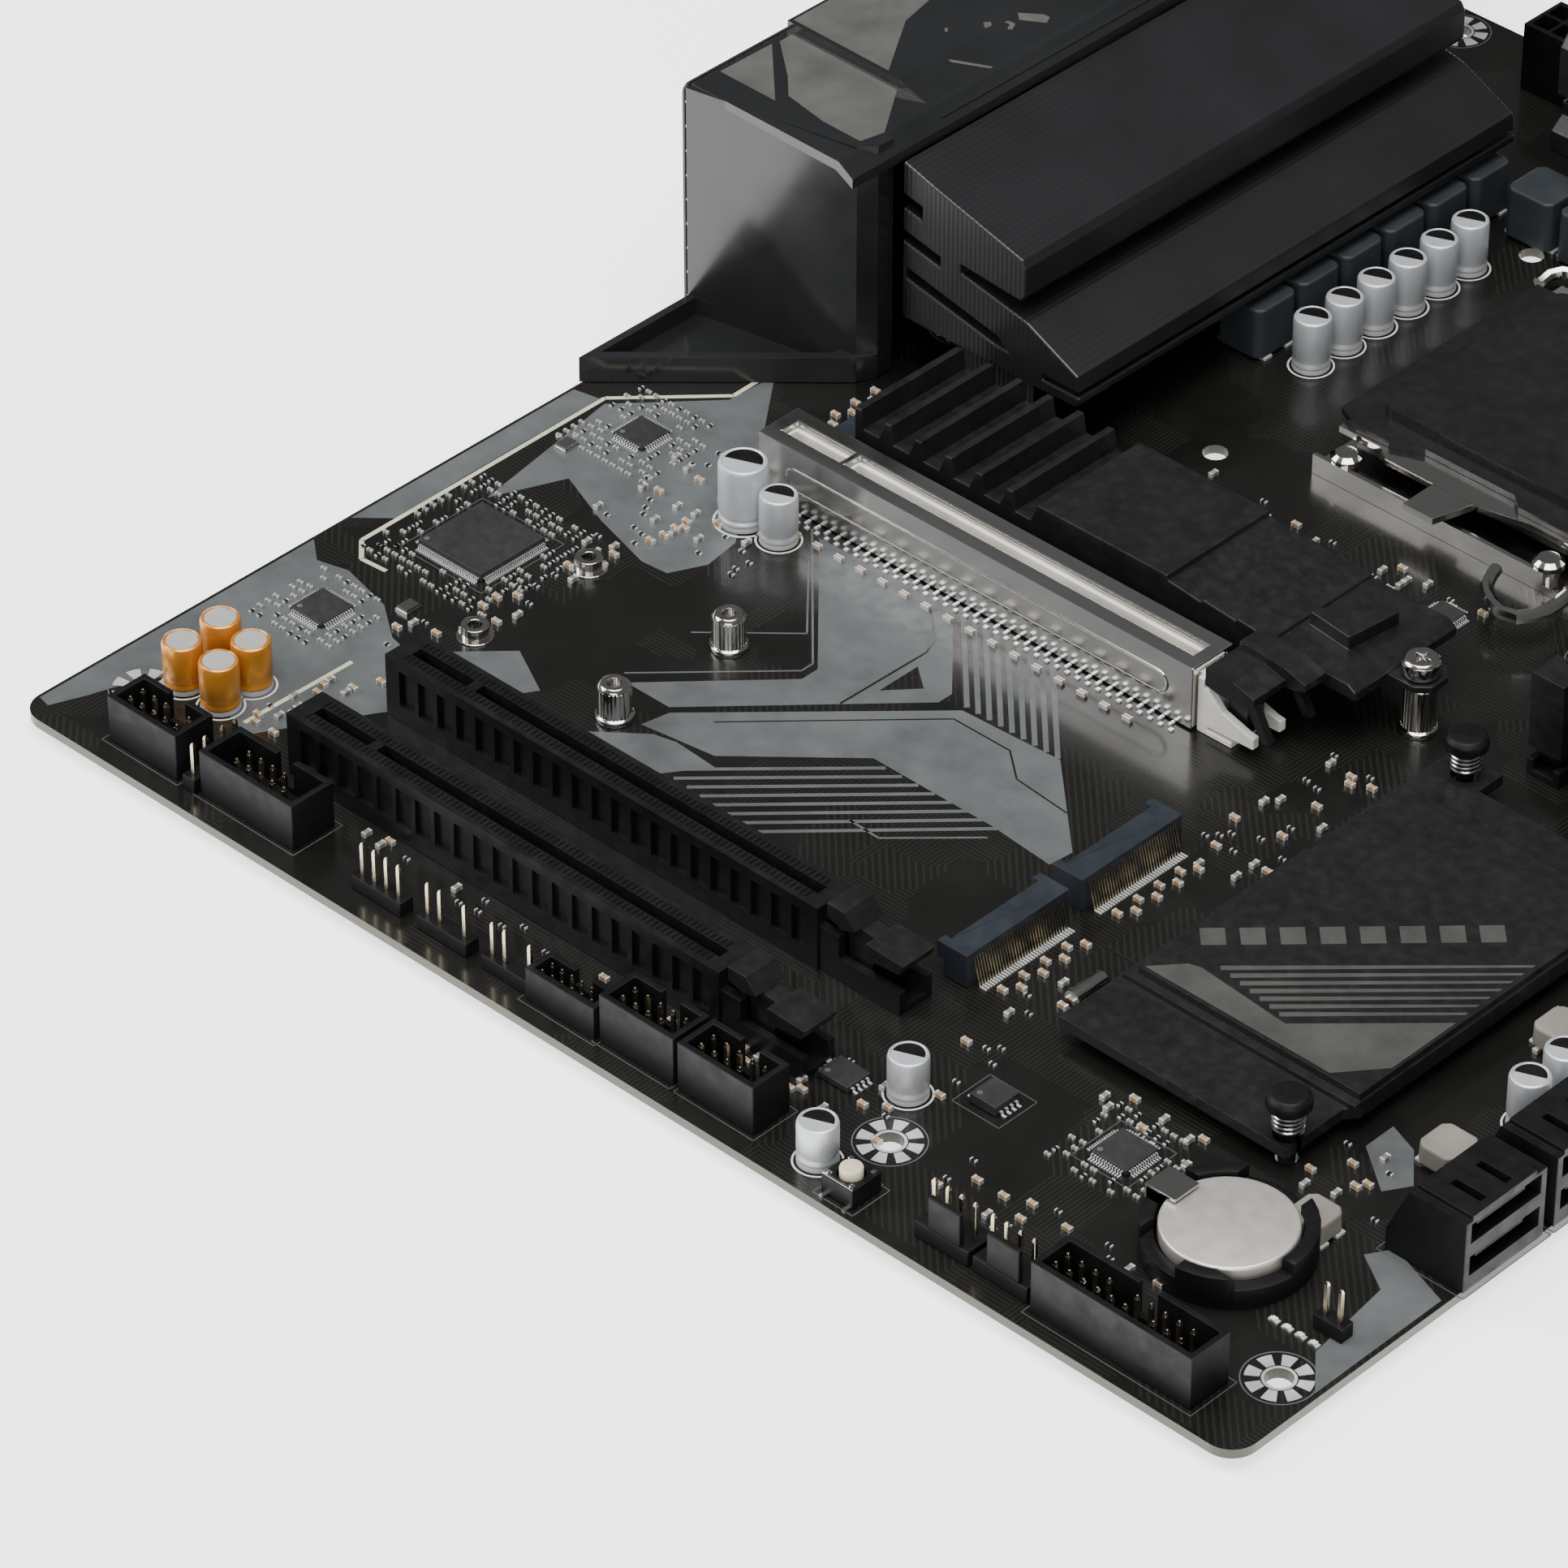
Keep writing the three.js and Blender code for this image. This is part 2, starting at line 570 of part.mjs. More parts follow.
// Bent steel wire: a crossbar at the upper end, an arm along the side and a finger loop at the lower end
function loadLever() {
  const [y, z] = LEVER_AXIS;
  const route = [
    [94.5, y - 5.5, z - 0.6], [94.8, y - 2, z], [97.5, y, z], [104, y, z], [130, y, z], [148, y, z], [152.6, y - 1.5, z],
    [154.2, y - 5.5, z + 0.4], [154.2, 228, 4.6], [154.2, 200, 5.0], [154.4, 183, 5.0], [154.8, 172.6, 5.0],
    [152.2, 168.4, 5.0], [148, 168.8, 5.0], [144, 172, 5.0], [142.2, 176.4, 4.8],
  ].map(([a, b, c]) => new THREE.Vector3(a, b, c));
  const path = new THREE.CatmullRomCurve3(route, false, 'centripetal');
  const section = new THREE.Shape();
  section.absarc(0, 0, 1.15, 0, 2 * Math.PI, false);
  const geometry = new THREE.ExtrudeGeometry(section, {
    steps: 64, extrudePath: path, bevelEnabled: false, curveSegments: 4,
  });
  piece('load_lever', solid(geometry), 'nickel');
}

// ---- Memory slots -------------------------------------------------------------------------------

function memorySlots() {
  for (let index = 0; index < MEMORY_COUNT; index += 1) {
    const x0 = MEMORY_FIRST_X + index * MEMORY_PITCH;
    const x1 = x0 + MEMORY_WIDTH;
    const middle = (x0 + x1) / 2;
    const bottom = MEMORY_BOTTOM_Y;
    const top = bottom + MEMORY_LENGTH;
    let body = join(
      block(x0, x1, bottom, top, SEAT, 5.0),
      block(x0 + 0.3, x1 - 0.3, bottom + 9, top - 8, SEAT, 8.6),
      block(x0, x1, top - 9, top, SEAT, MEMORY_TOWER - 3),
      block(x0, x1, bottom + 8, bottom + 11, SEAT, 12.5));
    body = cut(body,
      block(middle - 0.75, middle + 0.75, bottom + 6, bottom + 77, 3.0, 20),
      block(middle - 0.75, middle + 0.75, bottom + 79, top - 4, 3.0, 20),
      block(middle - 1.9, middle + 1.9, bottom - 1, bottom + 7.4, 1.2, 20),
      block(x0 - 1, x1 + 1, bottom - 1, bottom + 3.4, 3.0, 20));
    piece(`memory_slot_${index + 1}`, body, 'plastic');

    const latch = join(
      alongX([[bottom + 2.4, 1.8], [bottom + 6.6, 1.8], [bottom + 6.6, 12], [bottom + 0.6, 12], [bottom + 0.6, 4.5]],
        middle - 1.6, middle + 1.6),
      alongX([[bottom, 5.3], [bottom + 5.6, 5.3], [bottom + 7.2, 12], [bottom + 7.2, MEMORY_TOWER - 4], [bottom + 5.6, MEMORY_TOWER],
        [bottom - 0.2, MEMORY_TOWER], [bottom - 0.2, MEMORY_TOWER - 3.2], [bottom, 14]], x0, x1));
    piece(`memory_latch_${index + 1}`, cut(latch, block(middle - 0.9, middle + 0.9, bottom + 5.0, bottom + 9, 7.5, 20)), 'plastic');
  }
}

// ---- Power-stage heatsinks ----------------------------------------------------------------------

// Screw shank and head under the board, in one solid with the heatsink it holds
function clampScrew(x, y, reach) {
  return turned(x, y, [
    [0, LOWEST], [2.7, LOWEST], [2.7, UNDERSIDE - GAP], [1.4, UNDERSIDE - GAP], [1.4, reach], [0, reach],
  ], 12);
}

function rearHeatsink() {
  const [y0, y1] = REAR_HEATSINK;
  const profile = [
    [35, 10.8], [72.0, 10.8], [72.8, 11.4], [72.8, 12.7], [65, 12.7], [65, 13.7], [72.8, 13.7], [72.4, 16.6],
    [61.6, 21.8], [47.5, 24.6], [47.5, 26.2], [60.2, 25.2], [61.2, 26.4], [61.2, 31.6], [60.4, 32.9],
    [41.5, 38.0], [35, 40.0],
  ];
  let body = alongY(profile, y0, y1);
  body = cut(body,
    alongY([[35.8, 20.4], [55.5, 16.4], [57.5, 14.6], [55, 14.6], [35.8, 18.4]], y0 - 1, y1 + 1),
    alongY([[34, 25.4], [43, 23.6], [43, 25.6], [34, 27.4]], y0 - 1, y1 + 1),
    alongY([[34, 31.6], [39, 30.6], [39, 33.2], [34, 34.2]], y0 - 1, y1 + 1));
  body = body.add(block(44, 60, y0 + 4, y1 - 2, 1.7, 11));
  body = join(body, clampScrew(51, HEATSINK_SCREWS[0][1], 3), clampScrew(51, HEATSINK_SCREWS[1][1], 3));
  piece('vrm_heatsink_rear', body, 'anodised');
}

function topHeatsink() {
  const [x0, x1] = TOP_HEATSINK;
  const profile = [
    [301, 11], [266.4, 11], [265.4, 12], [265.4, 15.6], [268, 17.6], [268, 20], [272, 20], [272, 22], [266.5, 22],
    [266.5, 31], [268, 33], [301, 36],
  ];
  let body = alongX(profile, x0, x1);
  body = body.add(block(x0 + 4, x1 - 4, 274, 292, 1.7, 11.2));
  for (let x = x0 + 14; x < x1 - 8; x += 14) {
    body = cut(body, block(x, x + 2, 260, 296, 24, 40));
  }
  body = join(body, clampScrew(90, HEATSINK_SCREWS[2][1], 3), clampScrew(158, HEATSINK_SCREWS[3][1], 3));
  piece('vrm_heatsink_top', body, 'anodised');
}

// ---- Rear ports, their shield and the shroud over them ------------------------------------------

const PORT_MOUTH = -1.0;

function portStack(name, y0, y1, depth, height, mouths, look) {
  let body = block(PORT_MOUTH, depth, y0, y1, SEAT, height);
  for (const [my0, my1, z0, z1, reach] of mouths) {
    body = cut(body, block(PORT_MOUTH - 1, PORT_MOUTH + reach, my0, my1, z0, z1));
  }
  piece(name, body, look);
}

function usbMouths(y0, levels) {
  return levels.map((z) => [y0 + 1, y0 + 14, z, z + 5.6, 11]);
}

function rearPorts() {
  // Audio jacks: three round sockets side by side
  let audio = block(PORT_MOUTH, 15, 150.6, 188, SEAT, 13);
  for (let index = 0; index < 3; index += 1) {
    const y = 156.6 + index * 12.6;
    audio = cut(audio, barThroughX(y, 7, 2.4, PORT_MOUTH - 1, 8));
  }
  piece('audio_jack_row', audio, 'plastic');

  portStack('network_port_stack', 192, 208, 21, 27.5,
    [[193.6, 206.4, 15.2, 25.6, 13], ...usbMouths(192.4, [1.4, 8.0]).map(([a, b, c, d, e]) => [a + 0.1, b, c, d, e])], 'steel');
  portStack('usb_port_stack_1', 213, 229, 18, 15.6, usbMouths(213.5, [1.4, 8.4]), 'steel');
  portStack('usb_port_stack_2', 234, 250, 18, 15.6, usbMouths(234.5, [1.4, 8.4]), 'steel');
  portStack('video_port_stack', 255, 272, 19, 21, [[256, 271, 2.4, 7.2, 9], [256, 271, 12.6, 18.2, 9]], 'steel');
}

function barThroughX(y, z, radius, x0, x1) {
  return barAlongX(y, z, radius, x0, x1, 20);
}

function rearShield() {
  let plate = roundedShield();
  const windows = [
    [192.6, 207.4, 1, 26.4], [214, 228.4, 1, 14.6], [235, 249.4, 1, 14.6], [255.8, 271.2, 2, 19],
  ];
  for (const [y0, y1, z0, z1] of windows) {
    plate = cut(plate, block(-4, 0, y0, y1, z0, z1));
  }
  for (let index = 0; index < 3; index += 1) {
    plate = cut(plate, barThroughX(156.6 + index * 12.6, 7, 3.6, -4, 0));
  }
  piece('io_shield', plate, 'steel');
}

function roundedShield() {
  const profile = roundedRectangle(145.6, 302.6, 0.4, 43.6, 1.5);
  const geometry = extrude(profile, 0.5);
  geometry.applyMatrix4(new THREE.Matrix4().makeBasis(
    new THREE.Vector3(0, 1, 0), new THREE.Vector3(0, 0, 1), new THREE.Vector3(1, 0, 0)));
  geometry.translate(PORT_MOUTH - 0.8, 0, 0);
  return solid(geometry);
}

function rearCover() {
  // Roof over the ports, sloping gently to the heatsink, with a raised panel beyond a notch
  const roof = alongY([[-0.4, 42.6], [-0.4, 44.1], [31.5, 43.6], [34.6, 41.6], [34.6, 39.8], [31, 41.8]], 146.4, COVER_END_Y);
  const panel = alongY([[-0.4, 43.6], [-0.4, COVER_TOP], [24, 45.4], [33.5, 42.6], [31, 43.2]], 168.2, COVER_END_Y);
  // Side wall, turned a little from the board's own axes, standing on a low triangular foot
  const wall = slab([[-0.4, 145], [31.2, 151], [33.4, 153.6], [33.4, 157], [31.6, 157], [31.6, 153.6], [30.2, 152.6],
    [-0.4, 146.8]], 0.5, 43.9);
  const foot = cut(
    slab([[-0.2, 120], [31.8, 150.4], [33.4, 153.6], [30.2, 152.9], [-0.2, 147]], SEAT + 0.1, 4.8),
    slab([[1.2, 123.6], [28, 149], [28, 150.6], [1.2, 145.2]], 1.6, 6));
  const far = block(-0.4, 31.5, COVER_END_Y - 1.6, COVER_END_Y, 22, 43.5);
  piece('io_cover', join(roof, panel, wall, foot, far), 'plastic');
}

// ---- Power connectors ---------------------------------------------------------------------------

function powerConnector(name, x0, y0, across, along, columns, rows) {
  const height = 12.8;
  let body = block(x0, x0 + across, y0, y0 + along, SEAT, height);
  const pitch = 4.2;
  const startX = x0 + (across - columns * pitch) / 2;
  const startY = y0 + (along - rows * pitch) / 2;
  for (let column = 0; column < columns; column += 1) {
    for (let row = 0; row < rows; row += 1) {
      const cx = startX + column * pitch;
      const cy = startY + row * pitch;
      body = cut(body, block(cx + 0.35, cx + pitch - 0.35, cy + 0.35, cy + pitch - 0.35, 3, height + 1));
    }
  }
  return body;
}

function powerConnectors() {
  const main = join(
    powerConnector('main', 229.4, 176, 9.8, 51.6, 2, 12),
    block(239.1, 240.9, 199, 204.6, 6, 12.8));
  piece('main_power_connector', main, 'plastic');
  const processor = join(
    powerConnector('processor', 52, 291.6, 17.8, 9.8, 4, 2),
    block(58, 63.6, 301.3, 303, 6, 12.8));
  piece('processor_power_connector', processor, 'plastic');
}

const group = new THREE.Group();
group.add(board);
// Origin under the middle of everything, so the shield's rear face and the drive connectors' fronts count
const FRONT_MOST = BOARD_X + 0.4;
const REAR_MOST = -1.8;
group.position.set(-(FRONT_MOST + REAR_MOST) / 2, -BOARD_Y / 2, -LOWEST);

printedBoard();
chipset();
chipsetHeatsink();
pushPins();
slotBody('slot_2_body', SLOT_TWO_Y);
slotBody('slot_3_body', SLOT_THREE_Y);
slotLatch('slot_2_latch', SLOT_TWO_Y);
slotLatch('slot_3_latch', SLOT_THREE_Y);
graphicsSlot();
storageSocket('storage_socket_1', 144.8, 60.2, 22, 5.8);
storageSocket('storage_socket_2', 144.8, 84.9, 22, 5.8);
standoff('storage_standoff_1', 66.8, 60.6, 6.5);
standoff('storage_standoff_2', 66.8, 85.3, 6.5);
storageHeatsink();
headers();
updateButton();
battery();
driveConnector('drive_connector_1', 47, 64.3);
driveConnector('drive_connector_2', 66.6, 83.9);
processorSocket();
loadPlate();
loadLever();
memorySlots();
rearHeatsink();
topHeatsink();
rearPorts();
rearShield();
rearCover();
powerConnectors();

export default group;
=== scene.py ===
"""Looks of a full-size desktop motherboard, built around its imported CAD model.

Board frame: millimetres, X from the rear edge (ports) to the front edge, Y from the bottom edge
(headers) to the top edge, Z up from the top face of the printed circuit board.
"""
import math
import random

import bpy
from mathutils import Matrix, Vector


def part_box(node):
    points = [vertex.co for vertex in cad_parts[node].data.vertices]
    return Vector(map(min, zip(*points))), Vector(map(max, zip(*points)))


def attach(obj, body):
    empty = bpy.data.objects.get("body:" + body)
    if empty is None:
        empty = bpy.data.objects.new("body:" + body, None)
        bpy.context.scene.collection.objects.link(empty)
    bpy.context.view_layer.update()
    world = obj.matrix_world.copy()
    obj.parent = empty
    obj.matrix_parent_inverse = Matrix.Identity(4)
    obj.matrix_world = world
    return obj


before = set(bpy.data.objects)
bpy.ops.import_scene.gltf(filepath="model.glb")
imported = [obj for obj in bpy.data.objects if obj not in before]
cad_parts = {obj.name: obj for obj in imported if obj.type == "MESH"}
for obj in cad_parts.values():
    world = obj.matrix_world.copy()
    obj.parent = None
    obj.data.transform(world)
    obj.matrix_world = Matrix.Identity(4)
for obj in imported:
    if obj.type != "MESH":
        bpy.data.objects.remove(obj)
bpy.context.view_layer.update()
random.seed(7)

MM = 0.001
LAND_HEIGHT = 0.1
BOARD_THICKNESS = 1.6
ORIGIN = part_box("printed_circuit_board")[0] + Vector((0, 0, (LAND_HEIGHT + BOARD_THICKNESS) * MM))
PIN_PITCH = 2.54


def at(x, y, z):
    """A board position in millimetres, as a point in the row frame in metres."""
    return ORIGIN + Vector((x, y, z)) * MM


def extent(node):
    """A node's box in board millimetres: x0, x1, y0, y1, z0, z1."""
    low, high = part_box(node)
    low = (low - ORIGIN) / MM
    high = (high - ORIGIN) / MM
    return low.x, high.x, low.y, high.y, low.z, high.z


# ---- Materials ----------------------------------------------------------------------------------

class Finish:
    """A Principled material with procedural grain in its roughness, colour and bump."""

    def __init__(self, name, colour, roughness, metallic=0.0, coat=0.0, specular=0.5):
        self.material = bpy.data.materials.new(name)
        self.material.use_nodes = True
        self.tree = self.material.node_tree
        self.shader = self.tree.nodes["Principled BSDF"]
        self.colour = colour
        self.roughness = roughness
        self.give(self.shader, {
            "Base Color": (*colour, 1), "Roughness": roughness, "Metallic": metallic, "Coat Weight": coat,
            "Coat Roughness": 0.12, "Specular IOR Level": specular,
        })
        self.place = self.node("ShaderNodeTexCoord").outputs["Object"]

    def give(self, node, values):
        """Sets a node's inputs: another node's output is linked, anything else is a constant."""
        for key, value in values.items():
            if isinstance(value, bpy.types.NodeSocket):
                self.tree.links.new(value, node.inputs[key])
            else:
                node.inputs[key].default_value = value

    def node(self, kind, values=None, **settings):
        made = self.tree.nodes.new(kind)
        for key, value in settings.items():
            setattr(made, key, value)
        self.give(made, values or {})
        return made

    def noise(self, scale, detail=3.0, stretch=None):
        place = self.place
        if stretch:
            place = self.node("ShaderNodeMapping", {"Vector": place, "Scale": stretch}).outputs["Vector"]
        values = {"Vector": place, "Scale": scale, "Detail": detail}
        return self.node("ShaderNodeTexNoise", values).outputs["Fac"]

    def spread(self, value, low, high):
        """Maps a noise value onto low to high."""
        values = {"Value": value, "From Min": 0.3, "From Max": 0.7, "To Min": low, "To Max": high}
        return self.node("ShaderNodeMapRange", values).outputs["Result"]

    def blend(self, factor, low, high, kind="RGBA"):
        """A mix of two colours or, for kind FLOAT, of two numbers."""
        mix = self.node("ShaderNodeMix", {"Factor": factor}, data_type=kind)
        self.give(mix, {"A": low, "B": high})
        return mix.outputs["Result"]

    def above(self, value, limit):
        """One where the value is over the limit, zero elsewhere."""
        return self.node("ShaderNodeMath", {0: value, 1: limit}, operation="GREATER_THAN").outputs[0]

    def raise_by(self, height, depth):
        """Bump of a depth in millimetres."""
        bump = self.node("ShaderNodeBump", {"Height": height, "Distance": depth * MM, "Strength": 1.0})
        self.give(self.shader, {"Normal": bump.outputs["Normal"]})

    def tint(self, amount, scale):
        """Slow light and dark patches in the base colour."""
        dark = (*[c * (1 - amount) for c in self.colour], 1)
        light = (*[min(1, c * (1 + amount)) for c in self.colour], 1)
        patches = self.blend(self.spread(self.noise(scale, 4), 0, 1), dark, light)
        self.give(self.shader, {"Base Color": patches})
        return self

    def grain(self, scale, depth, wobble=0.1, stretch=None):
        """Fine bump of a depth in millimetres, and roughness that wavers with it."""
        self.raise_by(self.noise(scale, 3, stretch), depth)
        slow = self.noise(scale / 7, 2, stretch)
        rough = self.spread(slow, max(0.02, self.roughness - wobble), min(1, self.roughness + wobble))
        self.give(self.shader, {"Roughness": rough})
        return self


def plastic(name, colour, roughness=0.45, scale=2600, depth=0.012, specular=0.4):
    return Finish(name, colour, roughness, specular=specular).tint(0.18, 120).grain(scale, depth).material


def metal(name, colour, roughness=0.25, stretch=None, depth=0.004):
    return Finish(name, colour, roughness, 1.0).tint(0.03, 160).grain(1800, depth, 0.03, stretch).material


def glossy_cover():
    look = Finish("cover_plastic", (0.012, 0.0125, 0.013), 0.2, coat=0.3)
    return look.tint(0.2, 40).grain(900, 0.002, 0.05).material


def satin_metal(name, colour, roughness, metallic, tint, scale, grain, depth, wobble=0.1):
    """Metal under a film or a dull skin, so only partly metallic."""
    look = Finish(name, colour, roughness, metallic)
    return look.tint(tint, scale).grain(grain, depth, wobble).material


RESIST = (0.0062, 0.0060, 0.0050)
RESIST_OVER_TRACE = (0.0135, 0.0128, 0.0105)
LAMINATE = (0.038, 0.037, 0.017)


def trace_mask(look):
    """One where a trace runs under the resist: bundles of lines that turn from region to region."""
    lines = []
    for direction in ("X", "Y", "DIAGONAL"):
        values = {"Vector": look.place, "Scale": 420, "Distortion": 0.0}
        wave = look.node("ShaderNodeTexWave", values, bands_direction=direction, wave_profile="SIN")
        lines.append(wave.outputs["Fac"])
    regions = look.node("ShaderNodeTexVoronoi", {"Vector": look.place, "Scale": 75}, distance="CHEBYCHEV")
    split = look.node("ShaderNodeSeparateColor", {"Color": regions.outputs["Color"]}).outputs
    height = lines[2]
    for channel, limit, line in (("Red", 0.5, lines[0]), ("Green", 0.55, lines[1])):
        height = look.blend(look.above(split[channel], limit), height, line, "FLOAT")
    values = {"Value": height, "From Min": 0.62, "From Max": 0.82}
    sharp = look.node("ShaderNodeMapRange", values, interpolation_type="SMOOTHSTEP").outputs["Result"]
    values = {0: sharp, 1: look.above(split["Blue"], 0.42)}
    return look.node("ShaderNodeMath", values, operation="MULTIPLY").outputs[0]


def flat_mask(look):
    """One on faces that look up or down, zero on cut edges."""
    normal = look.node("ShaderNodeNewGeometry").outputs["True Normal"]
    facing = look.node("ShaderNodeSeparateXYZ", {0: normal}).outputs["Z"]
    upright = look.node("ShaderNodeMath", {0: facing}, operation="ABSOLUTE").outputs[0]
    return look.above(upright, 0.5)


def solder_resist():
    """Dark solder resist with fine raised copper traces, and the glass laminate on the cut edges."""
    look = Finish("solder_resist", RESIST, 0.28, coat=0.25, specular=0.4)
    covered = trace_mask(look)
    look.raise_by(covered, 0.008)
    traces = look.blend(covered, (*RESIST, 1), (*RESIST_OVER_TRACE, 1))
    base = look.blend(flat_mask(look), (*LAMINATE, 1), traces)
    look.give(look.shader, {"Base Color": base, "Roughness": look.spread(look.noise(90), 0.22, 0.36)})
    return look.material


def ribbed_metal():
    """Black anodised extrusion with fine ribs along Y."""
    look = Finish("ribbed_metal", (0.010, 0.010, 0.011), 0.34, specular=0.45).tint(0.2, 60)
    wave = look.node("ShaderNodeTexWave", {"Vector": look.place, "Scale": 330}, bands_direction="X")
    look.raise_by(wave.outputs["Fac"], 0.03)
    return look.material


LOOK = {
    "board": solder_resist(),
    "ink": plastic("grey_ink", (0.085, 0.092, 0.094), 0.42, 3000, 0.004),
    "pale_ink": plastic("pale_ink", (0.50, 0.52, 0.36), 0.5),
    "black": plastic("black_plastic", (0.005, 0.005, 0.0055), 0.45, specular=0.18),
    "slot_black": plastic("slot_black", (0.0065, 0.0065, 0.007), 0.38, specular=0.28),
    # Near-black colour that paints the shade inside the gaps of the card slots
    "painted_gap_shade": plastic("painted_gap_shade", (0.002, 0.002, 0.002), 0.6, specular=0.1),
    "latch_black": plastic("latch_black", (0.009, 0.009, 0.0095), 0.33, specular=0.4),
    "pale": plastic("pale_plastic", (0.72, 0.70, 0.64), 0.4),
    "cream": plastic("cream_plastic", (0.62, 0.56, 0.42), 0.42),
    "socket_grey": plastic("socket_grey", (0.018, 0.022, 0.028), 0.35),
    "cover": glossy_cover(),
    "cover_ink": plastic("cover_ink", (0.075, 0.077, 0.070), 0.42, 3000, 0.003),
    "epoxy": plastic("chip_epoxy", (0.020, 0.020, 0.021), 0.5, 4200, 0.008),
    "substrate": plastic("chip_substrate", (0.02, 0.045, 0.035), 0.35),
    "ferrite": plastic("choke_body", (0.022, 0.027, 0.031), 0.5, 1500, 0.03),
    "ferrite_grey": plastic("inductor_body", (0.20, 0.182, 0.158), 0.6, 1500, 0.03),
    "anodised": plastic("anodised_metal", (0.009, 0.009, 0.0095), 0.34, 3400, 0.008),
    "ribbed": ribbed_metal(),
    "heatsink_ink": plastic("heatsink_ink", (0.052, 0.052, 0.048), 0.42, 3000, 0.004),
    "ceramic": plastic("ceramic_tan", (0.34, 0.22, 0.12), 0.35),
    "ceramic_grey": plastic("ceramic_grey", (0.20, 0.18, 0.15), 0.35),
    "resistor": plastic("resistor_black", (0.012, 0.012, 0.014), 0.3),
    "orange": satin_metal("orange_can", (0.62, 0.25, 0.035), 0.3, 0.45, 0.12, 300, 900, 0.006, 0.05),
    "nickel": metal("nickel", (0.62, 0.60, 0.57), 0.14, depth=0.002),
    "steel": metal("steel", (0.62, 0.61, 0.59), 0.19, (0.05, 1, 1), 0.002),
    "tin": satin_metal("solder_tin", (0.74, 0.75, 0.74), 0.38, 0.6, 0.1, 200, 1500, 0.02),
    "gold": satin_metal("gold", (0.72, 0.56, 0.30), 0.3, 0.7, 0.1, 200, 1500, 0.004),
    "can": satin_metal("aluminium_can", (0.60, 0.62, 0.64), 0.45, 0.55, 0.04, 200, 1800, 0.003, 0.04),
    "pin": metal("pin_plating", (0.74, 0.66, 0.48), 0.25),
    "can_top": satin_metal("can_top", (0.42, 0.42, 0.41), 0.5, 0.3, 0.05, 200, 1800, 0.003, 0.04),
    "cell": satin_metal("cell_steel", (0.66, 0.62, 0.57), 0.42, 0.75, 0.02, 60, 2500, 0.003, 0.04),
    "shield": plastic("coated_shield", (0.02, 0.02, 0.022), 0.4),
    "white": plastic("white_ring", (0.62, 0.62, 0.60), 0.5),
    "spring": metal("spring_steel", (0.55, 0.55, 0.55), 0.22),
}


# ---- Mesh building ------------------------------------------------------------------------------

def place(name, data):
    """A new object in the scene."""
    made = bpy.data.objects.new(name, data)
    bpy.context.scene.collection.objects.link(made)
    return made


